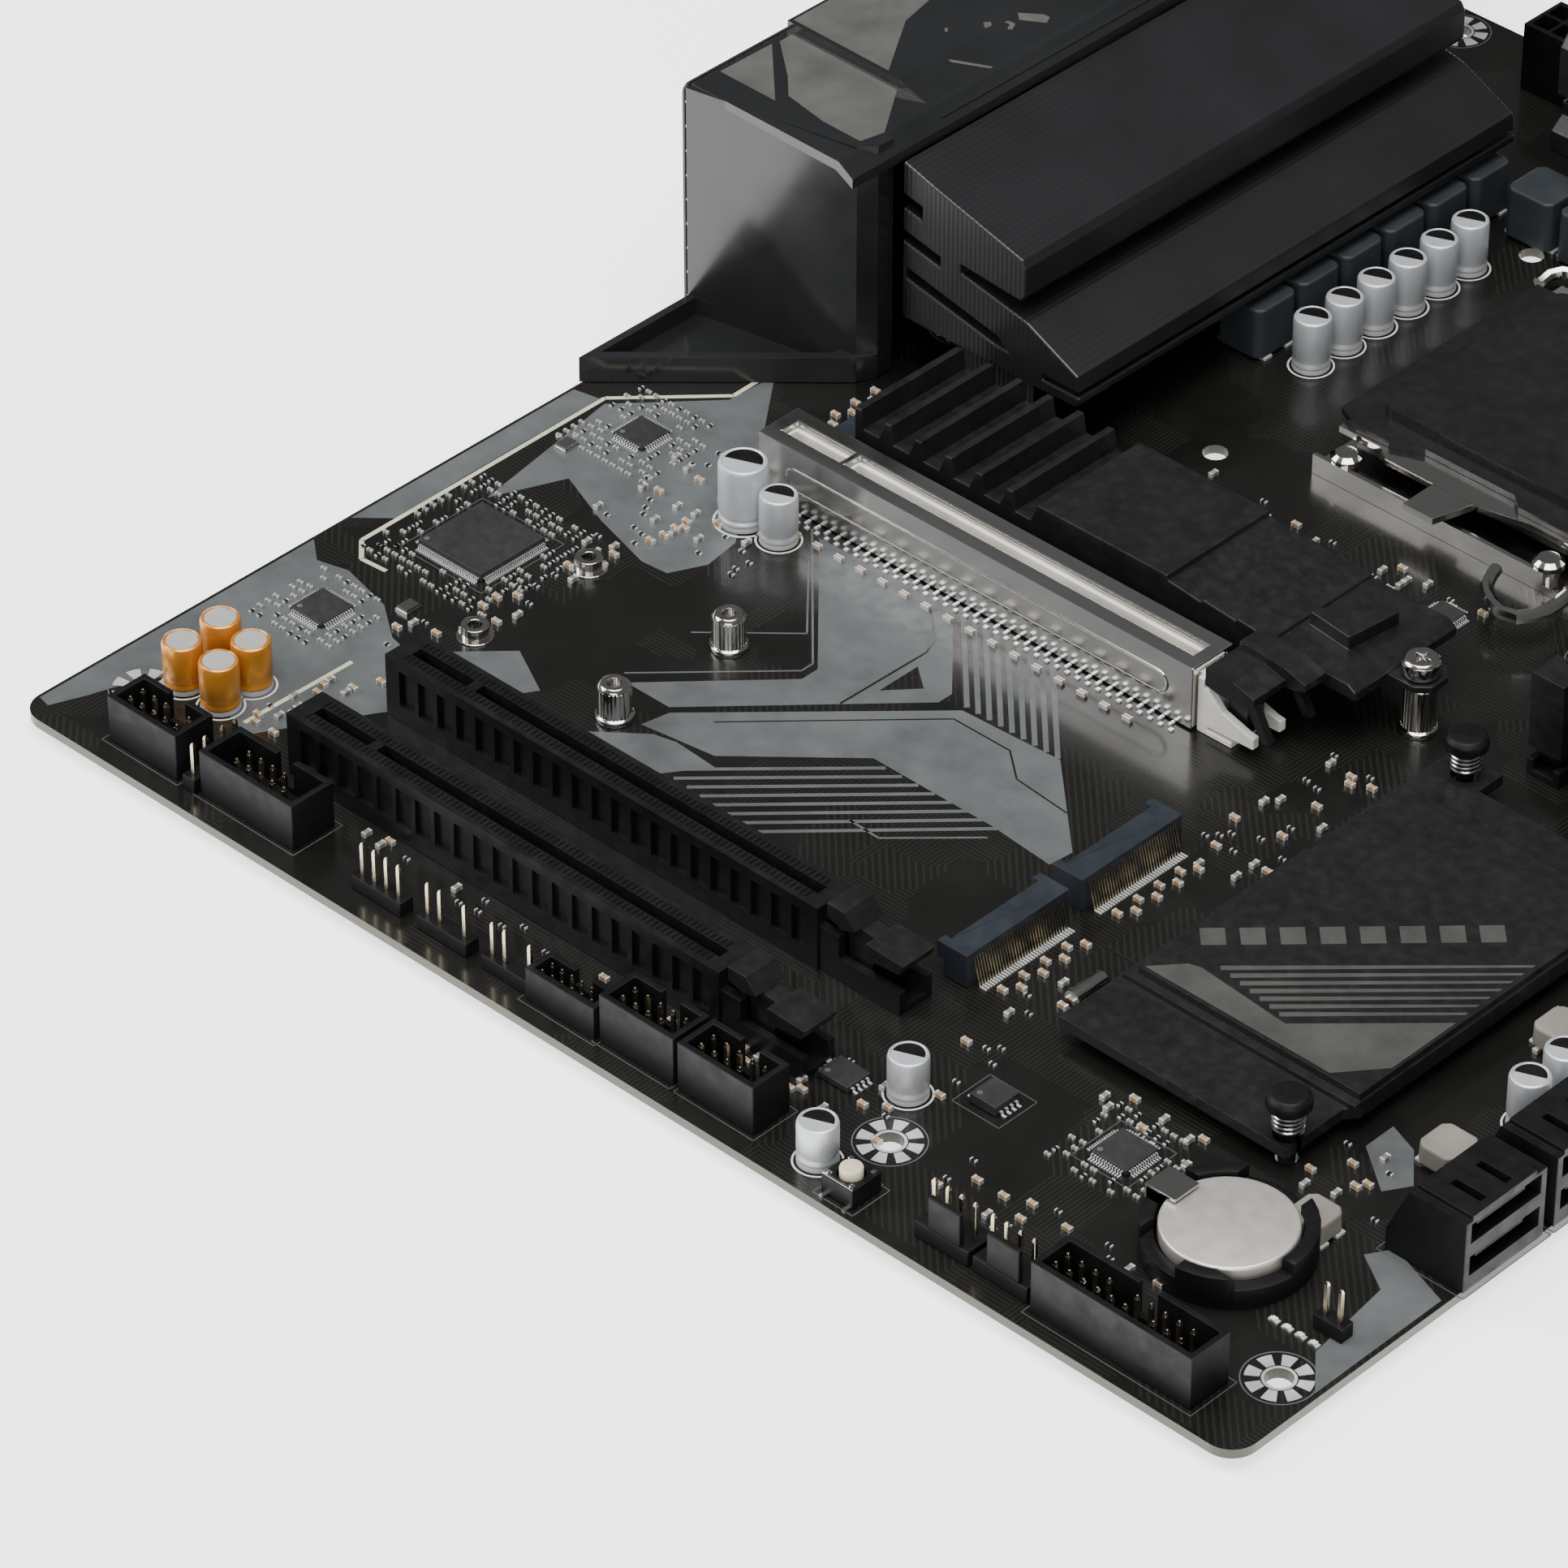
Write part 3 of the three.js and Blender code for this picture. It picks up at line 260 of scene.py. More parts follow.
class Shape:
    """Gathers faces in board millimetres and makes one object of them."""

    def __init__(self):
        self.verts = []
        self.faces = []

    def add(self, verts, faces):
        start = len(self.verts)
        self.verts += [tuple(v) for v in verts]
        self.faces += [[start + i for i in face] for face in faces]
        return self

    def loft(self, verts, sides):
        """Joins rings of points, each of the same number of sides, and caps both ends."""
        last = len(verts) - sides
        faces = [list(range(sides))[::-1], [last + k for k in range(sides)]]
        for base in range(0, last, sides):
            for k in range(sides):
                after = (k + 1) % sides
                faces.append([base + k, base + after, base + sides + after, base + sides + k])
        return self.add(verts, faces)

    def prism(self, outline, z0, z1, top=1.0):
        """A flat outline raised from z0 to z1; top scales the upper outline about its middle."""
        n = len(outline)
        mx = sum(p[0] for p in outline) / n
        my = sum(p[1] for p in outline) / n
        low = [(x, y, z0) for x, y in outline]
        high = [(mx + (x - mx) * top, my + (y - my) * top, z1) for x, y in outline]
        return self.loft(low + high, n)

    def box(self, x0, x1, y0, y1, z0, z1, top=1.0):
        return self.prism([(x0, y0), (x1, y0), (x1, y1), (x0, y1)], z0, z1, top)

    def block(self, x, y, width, length, z0, z1, top=1.0):
        """A box centred on x, y."""
        return self.box(x - width / 2, x + width / 2, y - length / 2, y + length / 2, z0, z1, top)

    def lathe(self, x, y, profile, sides=32):
        """Turns (radius, z) points about an upright axis; the ends are capped."""
        verts = []
        for radius, z in profile:
            for k in range(sides):
                turn = 2 * math.pi * k / sides
                verts.append((x + radius * math.cos(turn), y + radius * math.sin(turn), z))
        return self.loft(verts, sides)

    def ring(self, x, y, inner, outer, z0, z1, start=0.0, end=360.0, sides=32):
        """A flat ring, or a wedge of one, from one angle to another."""
        whole = end - start >= 360
        steps = sides if whole else max(3, int(sides * (end - start) / 360))
        verts = []
        count = steps if whole else steps + 1
        for k in range(count):
            turn = math.radians(start + (end - start) * k / steps)
            for radius, z in ((inner, z0), (outer, z0), (outer, z1), (inner, z1)):
                verts.append((x + radius * math.cos(turn), y + radius * math.sin(turn), z))
        faces = []
        for k in range(steps):
            a = 4 * k
            b = 4 * ((k + 1) % count)
            for i in range(4):
                j = (i + 1) % 4
                faces.append([a + i, b + i, b + j, a + j])
        if not whole:
            faces += [[0, 1, 2, 3], [4 * steps + i for i in (3, 2, 1, 0)]]
        return self.add(verts, faces)

    def tube(self, points, radius, sides=10):
        """A round wire along a list of points."""
        points = [Vector(p) for p in points]
        verts = []
        side = Vector((0, 0, 1))
        for i, p in enumerate(points):
            ahead = (points[min(i + 1, len(points) - 1)] - points[max(i - 1, 0)]).normalized()
            if abs(ahead.dot(side)) > 0.95:
                side = Vector((1, 0, 0)) if abs(ahead.x) < 0.9 else Vector((0, 1, 0))
            across = ahead.cross(side).normalized()
            side = across.cross(ahead).normalized()
            for k in range(sides):
                turn = 2 * math.pi * k / sides
                verts.append(p + (across * math.cos(turn) + side * math.sin(turn)) * radius)
        return self.loft(verts, sides)

    def pin(self, x, y, z0, z1, width=0.64):
        """A square pin with a tapered tip."""
        self.block(x, y, width, width, z0, z1 - 0.6)
        return self.block(x, y, width, width, z1 - 0.6, z1, 0.45)

    def make(self, name, look, body="board", bevel=0.0, slot=None):
        mesh = bpy.data.meshes.new(name)
        mesh.from_pydata([at(*v) for v in self.verts], [], self.faces)
        mesh.validate()
        made = place(name, mesh)
        mesh.materials.append(LOOK[look])
        soften(made, bevel)
        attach(made, body)
        return made


SHARP_ANGLE = math.radians(34)
TURNED_SHARP_ANGLE = math.radians(30)
WELD_DISTANCE = 0.002


def soften(made, bevel, cad_round=None):
    """Rounds sharp edges by a small bevel. Turned shapes are shaded smooth between their sharp edges.

    cad_round says whether a CAD node is turned; it is None for a shape of this script's own.
    """
    mesh = made.data
    own = cad_round is None
    smooth = bevel == 0 if own else cad_round
    if "custom_normal" in mesh.attributes:
        mesh.attributes.remove(mesh.attributes["custom_normal"])
    mesh.polygons.foreach_set("use_smooth", [smooth] * len(mesh.polygons))
    if own and smooth:
        mesh.set_sharp_from_angle(angle=SHARP_ANGLE)
    if not own:
        weld = made.modifiers.new("Weld", "WELD")
        weld.merge_threshold = WELD_DISTANCE * MM
    if bevel > 0:
        edges = made.modifiers.new("Edges", "BEVEL")
        edges.width = bevel * MM
        edges.segments = 2
        edges.limit_method = "ANGLE"
        edges.angle_limit = SHARP_ANGLE
        edges.use_clamp_overlap = True
    if cad_round:
        split = made.modifiers.new("Sharp", "EDGE_SPLIT")
        split.split_angle = TURNED_SHARP_ANGLE


# ---- Camera, light and floor --------------------------------------------------------------------

CAMERA_PLACE = (750.0, -613.7, 715.5)
CAMERA_FORWARD = (-0.5519, 0.5744, -0.6045)
CAMERA_RIGHT = (0.7214, 0.6925, -0.0006)
FLOOR_REACH = 6


def camera():
    forward = Vector(CAMERA_FORWARD).normalized()
    right = Vector(CAMERA_RIGHT).normalized()
    up = right.cross(forward)
    data = bpy.data.cameras.new("camera")
    data.sensor_width = 36
    data.lens = 182.53
    data.clip_start = 0.05
    data.clip_end = 20
    made = place("camera", data)
    turn = Matrix((right, up, -forward)).transposed().to_4x4()
    made.matrix_world = Matrix.Translation(at(*CAMERA_PLACE)) @ turn
    bpy.context.scene.camera = made


def softbox(name, position, width, height, power):
    """An area light facing the middle of the board."""
    data = bpy.data.lights.new(name, "AREA")
    data.shape = "RECTANGLE"
    data.size = width
    data.size_y = height
    data.energy = power
    made = place(name, data)
    made.location = position
    made.rotation_euler = (Vector((0, 0, 0.01)) - Vector(position)).to_track_quat("-Z", "Y").to_euler()


def studio():
    """Soft light from above and both sides, and a plain white floor."""
    world = bpy.data.worlds.new("studio")
    world.use_nodes = True
    background = world.node_tree.nodes["Background"]
    background.inputs["Color"].default_value = (0.95, 0.97, 1.0, 1)
    background.inputs["Strength"].default_value = 0.13
    bpy.context.scene.world = world
    softbox("overhead", (0.15, -0.15, 1.5), 1.2, 1.2, 36)
    softbox("left_key", (-1.1, -0.8, 1.0), 0.9, 0.9, 20)
    softbox("right_fill", (0.9, -1.2, 0.7), 1.2, 0.6, 12)
    mesh = bpy.data.meshes.new("floor")
    corners = [(x * FLOOR_REACH, y * FLOOR_REACH, 0) for x, y in ((-1, -1), (1, -1), (1, 1), (-1, 1))]
    mesh.from_pydata(corners, [], [(0, 1, 2, 3)])
    floor = place("floor", mesh)
    paper = Finish("floor_paper", (0.95, 0.95, 0.95), 0.9).grain(300, 0.01)
    paper.give(paper.shader, {"Emission Color": (1, 1, 1, 1), "Emission Strength": 1.7})
    floor.data.materials.append(paper.material)


# ---- CAD nodes ----------------------------------------------------------------------------------

NODE_LOOKS = {
    "printed_circuit_board": ("board", 0), "chipset": ("substrate", 0.1),
    "chipset_heatsink": ("anodised", 0.35), "storage_heatsink": ("anodised", 0.25),
    "vrm_heatsink_rear": ("ribbed", 0.3), "vrm_heatsink_top": ("anodised", 0.3),
    "graphics_slot_body": ("pale", 0.15), "graphics_slot_armour": ("steel", 0.25),
    "socket_body": ("socket_grey", 0.15), "coin_cell": ("cell", 0.15), "button_cap": ("cream", 0.3),
    "io_cover": ("cover", 0.2), "io_shield": ("shield", 0.1),
    "backplate": ("steel", 0.2), "network_port_stack": ("steel", 0.2), "video_port_stack": ("steel", 0.2),
    "usb_port_stack_1": ("steel", 0.2), "usb_port_stack_2": ("steel", 0.2),
    "load_lever": ("nickel", 0), "load_plate": ("nickel", 0.15), "socket_frame": ("nickel", 0.12),
    "battery_clip": ("nickel", 0.1), "heatsink_screw": ("nickel", 0.12),
    "heatsink_standoff": ("nickel", 0.12), "storage_standoff_1": ("nickel", 0.12),
    "storage_standoff_2": ("nickel", 0.12), "storage_socket_1": ("socket_grey", 0.12),
    "storage_socket_2": ("socket_grey", 0.12), "storage_socket_3": ("socket_grey", 0.12),
    "slot_2_body": ("slot_black", 0.1), "slot_3_body": ("slot_black", 0.1),
    "socket_cap": ("latch_black", 0.4),
}
# Nodes with round walls, shaded smooth
TURNED = {
    "coin_cell", "battery_holder", "load_lever", "heatsink_screw", "heatsink_standoff", "storage_standoff_1",
    "storage_standoff_2", "push_pin_1", "push_pin_2", "button_cap",
}


def dress_nodes():
    """Gives every CAD node its material and softened edges; any node not listed is black plastic."""
    for name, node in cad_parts.items():
        look, bevel = NODE_LOOKS.get(name, ("latch_black" if "latch" in name else "black", 0.15))
        node.data.materials.clear()
        node.data.materials.append(LOOK[look])
        soften(node, bevel, name in TURNED)


# ---- Small electronic parts ---------------------------------------------------------------------

HOLE_ROWS = (16.51, 173.99, 298.45)
HOLES = [(10.16, HOLE_ROWS[0]), (165.1, HOLE_ROWS[0]), (237.49, HOLE_ROWS[0])]
HOLES += [(x, y) for y in HOLE_ROWS[1:] for x in (33.02, 165.1, 237.49)]


def hole_pads():
    """A tinned ring and eight wedges of bare pad round each screw hole, inside a printed circle."""
    pads = Shape()
    for x, y in HOLES:
        pads.ring(x, y, 2.05, 2.5, 0, 0.05)
        for k in range(8):
            pads.ring(x, y, 2.7, 4.85, 0, 0.06, 45 * k + 9, 45 * k + 36)
    pads.make("screw_hole_pads", "tin", slot="nickel")
    outline = Shape()
    for x, y in HOLES:
        outline.ring(x, y, 5.3, 5.5, 0, 0.04, sides=48)
    outline.make("screw_hole_rings", "ink", slot="board")


def pin_field(name, columns, rows, z0, z1, missing=(), width=0.64):
    """Header pins at each column and row, apart from the missing (column, row) places."""
    pins = Shape()
    for i, x in enumerate(columns):
        for j, y in enumerate(rows):
            if (i, j) not in missing:
                pins.pin(x, y, z0, z1, width)
    return pins.make(name, "pin", bevel=0.05, slot="nickel")


def columns_from(start, count, pitch=PIN_PITCH):
    return [start + pitch * i for i in range(count)]


def header_pins():
    pin_field("audio_pins", columns_from(18.4, 5), (6.8, 9.3), 2.2, 7.9, {(3, 1)})
    pin_field("serial_pins", columns_from(41.1, 5), (7.3, 9.8), 2.2, 7.8, {(4, 1)})
    pin_field("usb_1_pins", columns_from(122.1, 5), (6.7, 9.2), 2.2, 8.2, {(4, 0)})
    pin_field("usb_2_pins", columns_from(137.7, 5), (6.7, 9.2), 2.2, 8.2, {(4, 0)})
    pin_field("service_pins", columns_from(107.2, 6, 2.0), (5.3, 7.3), 2.2, 5.5, {(5, 1)}, 0.5)
    pin_field("panel_pins", columns_from(205.9, 10), (6.0, 8.5), 2.2, 8.6, {(6, 0), (4, 1)})


def fan_headers():
    """Four-pin fan headers, each a base with a tongue beside its pins, and two jumpers."""
    for index, x in enumerate((181.3, 192.3)):
        body = Shape()
        body.box(x, x + 10.2, 4.0, 9.6, 0, 2.8)
        body.box(x + 2.6, x + 8.6, 4.0, 5.0, 2.8, 8.4)
        body.make(f"fan_header_{index + 1}", "black", bevel=0.2, slot="black_plastic")
        pin_field(f"fan_pins_{index + 1}", columns_from(x + 1.3, 4), (6.9,), 2.8, 9.4)
    for index, (x, y) in enumerate(((34, 5), (34, 11))):
        body = Shape()
        body.box(x - 1.3, x + 1.3, y - 1.3, y + 3.9, 0, 2.5)
        body.make(f"jumper_base_{index + 1}", "black", bevel=0.15, slot="black_plastic")
        pin_field(f"jumper_pins_{index + 1}", (x,), (y, y + PIN_PITCH), 2.5, 8.2)


def strip_headers():
    """Three light strip headers in a row; the second and third leave one of four pins out."""
    for index, x in enumerate((68.5, 82.2, 95.6)):
        body = Shape()
        body.box(x, x + 10.3, 4.2, 6.9, 0, 2.5)
        body.make(f"strip_header_{index + 1}", "black", bevel=0.15, slot="black_plastic")
        missing = {(2, 0)} if index else ()
        pin_field(f"strip_pins_{index + 1}", columns_from(x + 1.3, 4), (5.5,), 2.5, 8.4, missing)


def can_capacitor(body, top, skirt, ring, x, y, radius, height, half=True):
    """Aluminium can with a crimp above its base, a rounded shoulder and a printed moon or disc."""
    skirt.lathe(x, y, [(radius * 0.9, 0), (radius, 0.1), (radius, 0.5), (radius * 0.96, 0.9)], 40)
    body.lathe(x, y, [
        (radius * 0.9, 0.8), (radius * 0.99, 1.1), (radius, 1.5), (radius * 0.93, 1.9), (radius * 0.93, 2.2),
        (radius, 2.6), (radius, height - 0.6), (radius * 0.95, height - 0.15), (radius * 0.86, height),
        (radius * 0.82, height - 0.12), (0.01, height - 0.12),
    ], 40)
    arc = math.pi if half else 2 * math.pi * 14 / 15
    reach = radius * 0.78
    turns = [0.4 + arc * k / 14 for k in range(15)]
    moon = [(x + reach * math.cos(turn), y + reach * math.sin(turn)) for turn in turns]
    top.prism(moon, height - 0.13, height - 0.09)
    ring.ring(x, y, radius * 1.12, radius * 1.22, 0, 0.03, sides=48)


def capacitors():
    """Silver cans with a half-moon mark and orange audio ones, as (x, y, radius, height)."""
    silver = [(80.9, 204.4 + 7.8 * k, 3.15, 9.6) for k in range(6)]
    silver += [(159.7, 26, 3.1, 7.4), (160.6, 6.5, 3.1, 7.4)]
    silver += [(45.1, 110.9, 4.0, 11.3), (52.8, 110.8, 3.1, 8.8)]
    silver += [(227.2, 81.5, 3.1, 9.0), (227.0, 89.5, 3.1, 9.0), (170.0, 259.5, 3.1, 9.0)]
    orange = [(x, y, 3.15, 8.6) for x, y in ((14.0, 29.2), (14.1, 21.2), (21.6, 28.4), (21.9, 21.5))]
    for name, look, cans in (("silver", "can", silver), ("orange", "orange", orange)):
        body, top, skirt, ring = Shape(), Shape(), Shape(), Shape()
        for x, y, radius, height in cans:
            can_capacitor(body, top, skirt, ring, x, y, radius, height, name == "silver")
        body.make(f"{name}_capacitor_cans", look, slot="nickel")
        top.make(f"{name}_capacitor_moons", "black" if name == "silver" else "can_top", slot="black_plastic")
        skirt.make(f"{name}_capacitor_bases", "can_top", slot="nickel")
        ring.make(f"{name}_capacitor_rings", "white", slot="board")


def choke(body, lead, x, y, size=9.6, height=9.6):
    """Moulded power choke: a square block with cut corners over two bent terminals."""
    half = size / 2
    cut = 1.1
    outline = [
        (x - half + cut, y - half), (x + half - cut, y - half),
        (x + half, y - half + cut), (x + half, y + half - cut),
        (x + half - cut, y + half), (x - half + cut, y + half),
        (x - half, y + half - cut), (x - half, y - half + cut),
    ]
    body.prism(outline, 0.5, height, 0.97)
    for side in (-1, 1):
        middle = y + side * half * 0.55
        lead.box(x - half - 0.25, x + half + 0.25, middle - 0.9, middle + 0.9, 0, 0.6)


def chokes():
    """Power chokes beside and above the processor socket, then three loose inductors."""
    body, lead = Shape(), Shape()
    for k in range(6):
        choke(body, lead, 69.9, 203.6 + 10.7 * k)
    for k in range(8):
        choke(body, lead, 83.4 + 10.9 * k, 259.4)
    body.make("power_chokes", "ferrite", bevel=0.35, slot="black_plastic")
    lead.make("power_choke_leads", "tin", bevel=0.1, slot="nickel")
    body, lead = Shape(), Shape()
    for x, y, size in ((224.7, 67.2, 7.0), (220.9, 43.0, 6.4), (219.5, 98.5, 7.0)):
        choke(body, lead, x, y, size, 4.0)
    body.make("board_inductors", "ferrite_grey", bevel=0.4, slot="cream_plastic")
    lead.make("board_inductor_leads", "tin", bevel=0.1, slot="nickel")


# A gull-wing leg in three straight parts: reach from the body's side and height, from and to
LEG_PARTS = ((-0.1, 0.35, 0.55, 0.68), (0.25, 0.38, 0.02, 0.68), (0.25, 1.0, 0.02, 0.15))


def flat_package(name, x, y, width, length, pins_x, pins_y, height=1.2):
    """Chip with bent legs: pins_x along each side facing X, pins_y along each side facing Y."""
    body, legs, dot = Shape(), Shape(), Shape()
    body.block(x, y, width, length, 0.1, height, 0.97)
    for count, span, along in ((pins_x, length, True), (pins_y, width, False)):
        if not count:
            continue
        pitch = (span - 1.0) / count
        for k in range(count):
            offset = (k - (count - 1) / 2) * pitch
            for side in (-1, 1):
                reach = (width if along else length) / 2
                for start, end, z0, z1 in LEG_PARTS:
                    a, b = sorted((side * (reach + start), side * (reach + end)))
                    wide = pitch * 0.22
                    if along:
                        legs.box(x + a, x + b, y + offset - wide, y + offset + wide, z0, z1)
                    else:
                        legs.box(x + offset - wide, x + offset + wide, y + a, y + b, z0, z1)
    corner = (x - width / 2 + 1.1, y - length / 2 + 1.1)
    dot.ring(*corner, 0.05, 0.45, height - 0.01, height + 0.02, sides=16)
    body.make(f"{name}_body", "epoxy", bevel=0.12, slot="chip")
    legs.make(f"{name}_legs", "tin", slot="nickel")
    dot.make(f"{name}_mark", "ink", slot="board")


def chips():
    flat_package("controller", 20.6, 77.9, 14.2, 14.2, 32, 32, 1.5)
    flat_package("audio_codec", 15.2, 48.9, 7, 7, 12, 12, 1.0)
    flat_package("network_chip", 17.5, 116.3, 6.5, 6.5, 10, 10, 0.9)
    flat_package("clock_chip", 190.7, 37.2, 7, 7, 12, 12, 1.0)
    flat_package("flash_chip", 169.7, 33.2, 5.2, 5.2, 4, 0, 1.7)
    flat_package("regulator_1", 150.6, 22.4, 6, 5, 4, 0, 1.1)
    flat_package("regulator_2", 224.0, 107.0, 6, 5, 4, 0, 1.1)
    flat_package("bridge_chip", 140.5, 166.5, 5, 5, 8, 8, 0.9)


def small_parts(name, look, spots, width, length, height, along_x=True):
    """Chip capacitors or resistors with tinned ends."""
    body, ends = Shape(), Shape()
    for x, y in spots:
        w, d = (width, length) if along_x else (length, width)
        body.block(x, y, w * 0.56 if along_x else w, d if along_x else d * 0.56, 0.02, height)
        for side in (-1, 1):
            if along_x:
                ends.block(x + side * w * 0.39, y, w * 0.22, d * 1.04, 0, height * 1.04)
            else:
                ends.block(x, y + side * d * 0.39, w * 1.04, d * 0.22, 0, height * 1.04)
    body.make(f"{name}_bodies", look, bevel=0.05, slot="cream_plastic")
    ends.make(f"{name}_ends", "tin", bevel=0.05, slot="nickel")


def scatter(x0, x1, y0, y1, count, spacing=2.4):
    """Loose rows of spots on a half millimetre grid that keep clear of each other."""
    spots = []
    tries = 0
    while len(spots) < count and tries < count * 30:
        tries += 1
        x = round(random.uniform(x0, x1) * 2) / 2
        y = round(random.uniform(y0, y1) * 2) / 2
        if all(abs(x - a) > spacing or abs(y - b) > spacing * 0.6 for a, b in spots):
            spots.append((x, y))
    return spots


def around(x, y, width, length, rows=2):
    """Rows of spots on all four sides of a chip, with a few left out."""
    spots = []
    for row in range(rows):
        w = width / 2 + 2.2 + 1.9 * row
        d = length / 2 + 2.2 + 1.9 * row
        for k in range(int(2 * w / 1.7)):
            spots += [(x - w + 1.7 * k, y - d), (x - w + 1.7 * k, y + d)]
        for k in range(int(2 * d / 1.7)):
            spots += [(x - w, y - d + 1.7 * k), (x + w, y - d + 1.7 * k)]
    return [spot for spot in spots if random.random() > 0.22 and spot[0] > 3.5 and spot[1] > 3.5]


def clustered_parts():
    """Small parts in rows round the four largest chips, as (x, y, width, length, rows)."""
    chips_and_rows = (
        (20.6, 77.9, 14.2, 14.2, 3), (15.2, 48.9, 7, 7, 2), (17.5, 116.3, 6.5, 6.5, 3),
        (190.7, 37.2, 7, 7, 2),
    )
    spots = [spot for chip in chips_and_rows for spot in around(*chip)]
    random.shuffle(spots)
    cut = len(spots) * 3 // 5
    small_parts("cluster_capacitors", "ceramic_grey", spots[:cut], 1.0, 0.55, 0.5)
    small_parts("cluster_resistors", "resistor", spots[cut:], 1.0, 0.55, 0.35, False)


def scattered_parts():
    """Loose small parts over regions of the board, as (x0, x1, y0, y1, count)."""
    regions = [
        (26, 36, 20, 60, 26), (32, 38, 64, 100, 22), (26, 40, 96, 122, 26), (132, 150, 14, 26, 16),
        (156, 164, 10, 60, 18), (212, 232, 48, 62, 12), (214, 240, 86, 118, 26), (180, 200, 40, 47, 10),
        (150, 164, 94, 128, 26), (60, 160, 12, 16, 24), (85, 150, 156, 172, 30), (160, 170, 190, 250, 20),
        (36, 56, 98, 108, 12), (172, 214, 12, 22, 20),
    ]
    spots = [spot for region in regions for spot in scatter(*region)]
    random.shuffle(spots)
    third = len(spots) // 3
    small_parts("ceramic_capacitors", "ceramic", spots[:third], 1.6, 0.85, 0.8)
    small_parts("upright_capacitors", "ceramic_grey", spots[third:2 * third], 1.6, 0.85, 0.8, False)
    small_parts("chip_resistors", "resistor", spots[2 * third:], 1.1, 0.6, 0.4)


# ---- Slots, sockets and their contacts ----------------------------------------------------------

CARD_SLOTS = ("slot_2_body", "slot_3_body", "graphics_slot_body")
FIRST_CARD_CONTACT = 44.5
LAST_CARD_CONTACT = 128
CARD_KEY_AFTER = 10
CARD_KEY_WIDTH = 1.8


def card_contacts():
    """Gold contacts inside the card slots, 1 mm apart, with a gap where the card's key goes."""
    contacts = Shape()
    for node in CARD_SLOTS:
        x0, x1, y0, y1, z0, z1 = extent(node)
        middle = (y0 + y1) / 2
        for k in range(82):
            x = FIRST_CARD_CONTACT + k + (CARD_KEY_WIDTH if k > CARD_KEY_AFTER else 0)
            if x > LAST_CARD_CONTACT:
                break
            for side in (-1, 1):
                contacts.block(x, middle + side * 0.86, 0.45, 0.22, 4.0, 6.6)
    contacts.make("card_contacts", "gold", slot="nickel")


def slot_comb():
    """Painted shade: near-black blocks in a row on both shoulders of the plain card slots, standing in for
    the shade in their gaps.
    """
    teeth = Shape()
    for node in ("slot_2_body", "slot_3_body"):
        x0, x1, y0, y1, z0, z1 = extent(node)
        middle = (y0 + y1) / 2
        for k in range(84):
            x = FIRST_CARD_CONTACT + 0.1 + k
            for side in (-1, 1):
                teeth.block(x, middle + side * 1.95, 0.5, 1.5, z1 - 0.3, z1 + 0.015)
    teeth.make("slot_comb", "painted_gap_shade", slot="black_plastic")


def armoured_slot_tails():
    """Two rows of solder tails and a row of chip capacitors along the armoured slot."""
    tails = Shape()
    x0, x1, y0, y1, z0, z1 = extent("graphics_slot_armour")
    for k in range(41):
        x = x0 + 3 + 2.1 * k
        tails.block(x, y0 - 0.7, 0.5, 1.2, 0, 0.35)
        tails.block(x + 1.0, y0 - 1.9, 0.7, 0.7, 0, 0.3)
    tails.make("armoured_slot_tails", "tin", slot="nickel")
    spots = [(x0 + 8 + 4.6 * k, y0 - 4.6) for k in range(17)]
    small_parts("armoured_slot_capacitors", "ceramic", spots, 0.85, 1.6, 0.8, False)


def armour_groove():
    """The rounded loop pressed into the near side of the steel armour."""
    x0, x1, y0, y1, z0, z1 = extent("graphics_slot_armour")
    loop = []
    for middle, start in ((x1 - 7, -90), (x0 + 8, 90)):
        for k in range(9):
            turn = math.radians(start + 22.5 * k)
            loop.append((middle + 2.0 * math.cos(turn), y0, (z0 + z1) / 2 + 2.0 * math.sin(turn)))
    Shape().tube(loop + loop[:1], 0.22, 8).make("armour_groove", "steel", slot="polished_steel")


def storage_contacts():
    """Gold leads and solder tails behind each card socket, with its chip capacitors."""
    leads, tails, spots = Shape(), Shape(), []
    for node, side in (("storage_socket_1", 1), ("storage_socket_2", 1), ("storage_socket_3", -1)):
        x0, x1, y0, y1, z0, z1 = extent(node)
        back = x1 if side > 0 else x0
        for k in range(34):
            y = y0 + 1.6 + (y1 - y0 - 3.2) * k / 33
            leads.add(
                [(back, y - 0.12, z1 - 0.9), (back, y + 0.12, z1 - 0.9), (back + side * 1.3, y + 0.12, 0.25),
                 (back + side * 1.3, y - 0.12, 0.25), (back, y - 0.12, z1 - 1.1), (back, y + 0.12, z1 - 1.1),
                 (back + side * 1.1, y + 0.12, 0.1), (back + side * 1.1, y - 0.12, 0.1)],
                [[0, 1, 2, 3], [7, 6, 5, 4], [0, 3, 7, 4], [1, 5, 6, 2], [0, 4, 5, 1], [3, 2, 6, 7]])
            tails.block(back + side * 1.9, y, 1.3, 0.3, 0, 0.2)
        spots += [(back + side * (4.4 + 1.6 * (k % 2)), y0 + 3 + 2.3 * k) for k in range(8)]
    leads.make("storage_leads", "pin", slot="nickel")
    tails.make("storage_tails", "tin", slot="nickel")
    small_parts("storage_capacitors", "ceramic", spots, 1.6, 0.85, 0.8)


MEMORY_KEY = 78


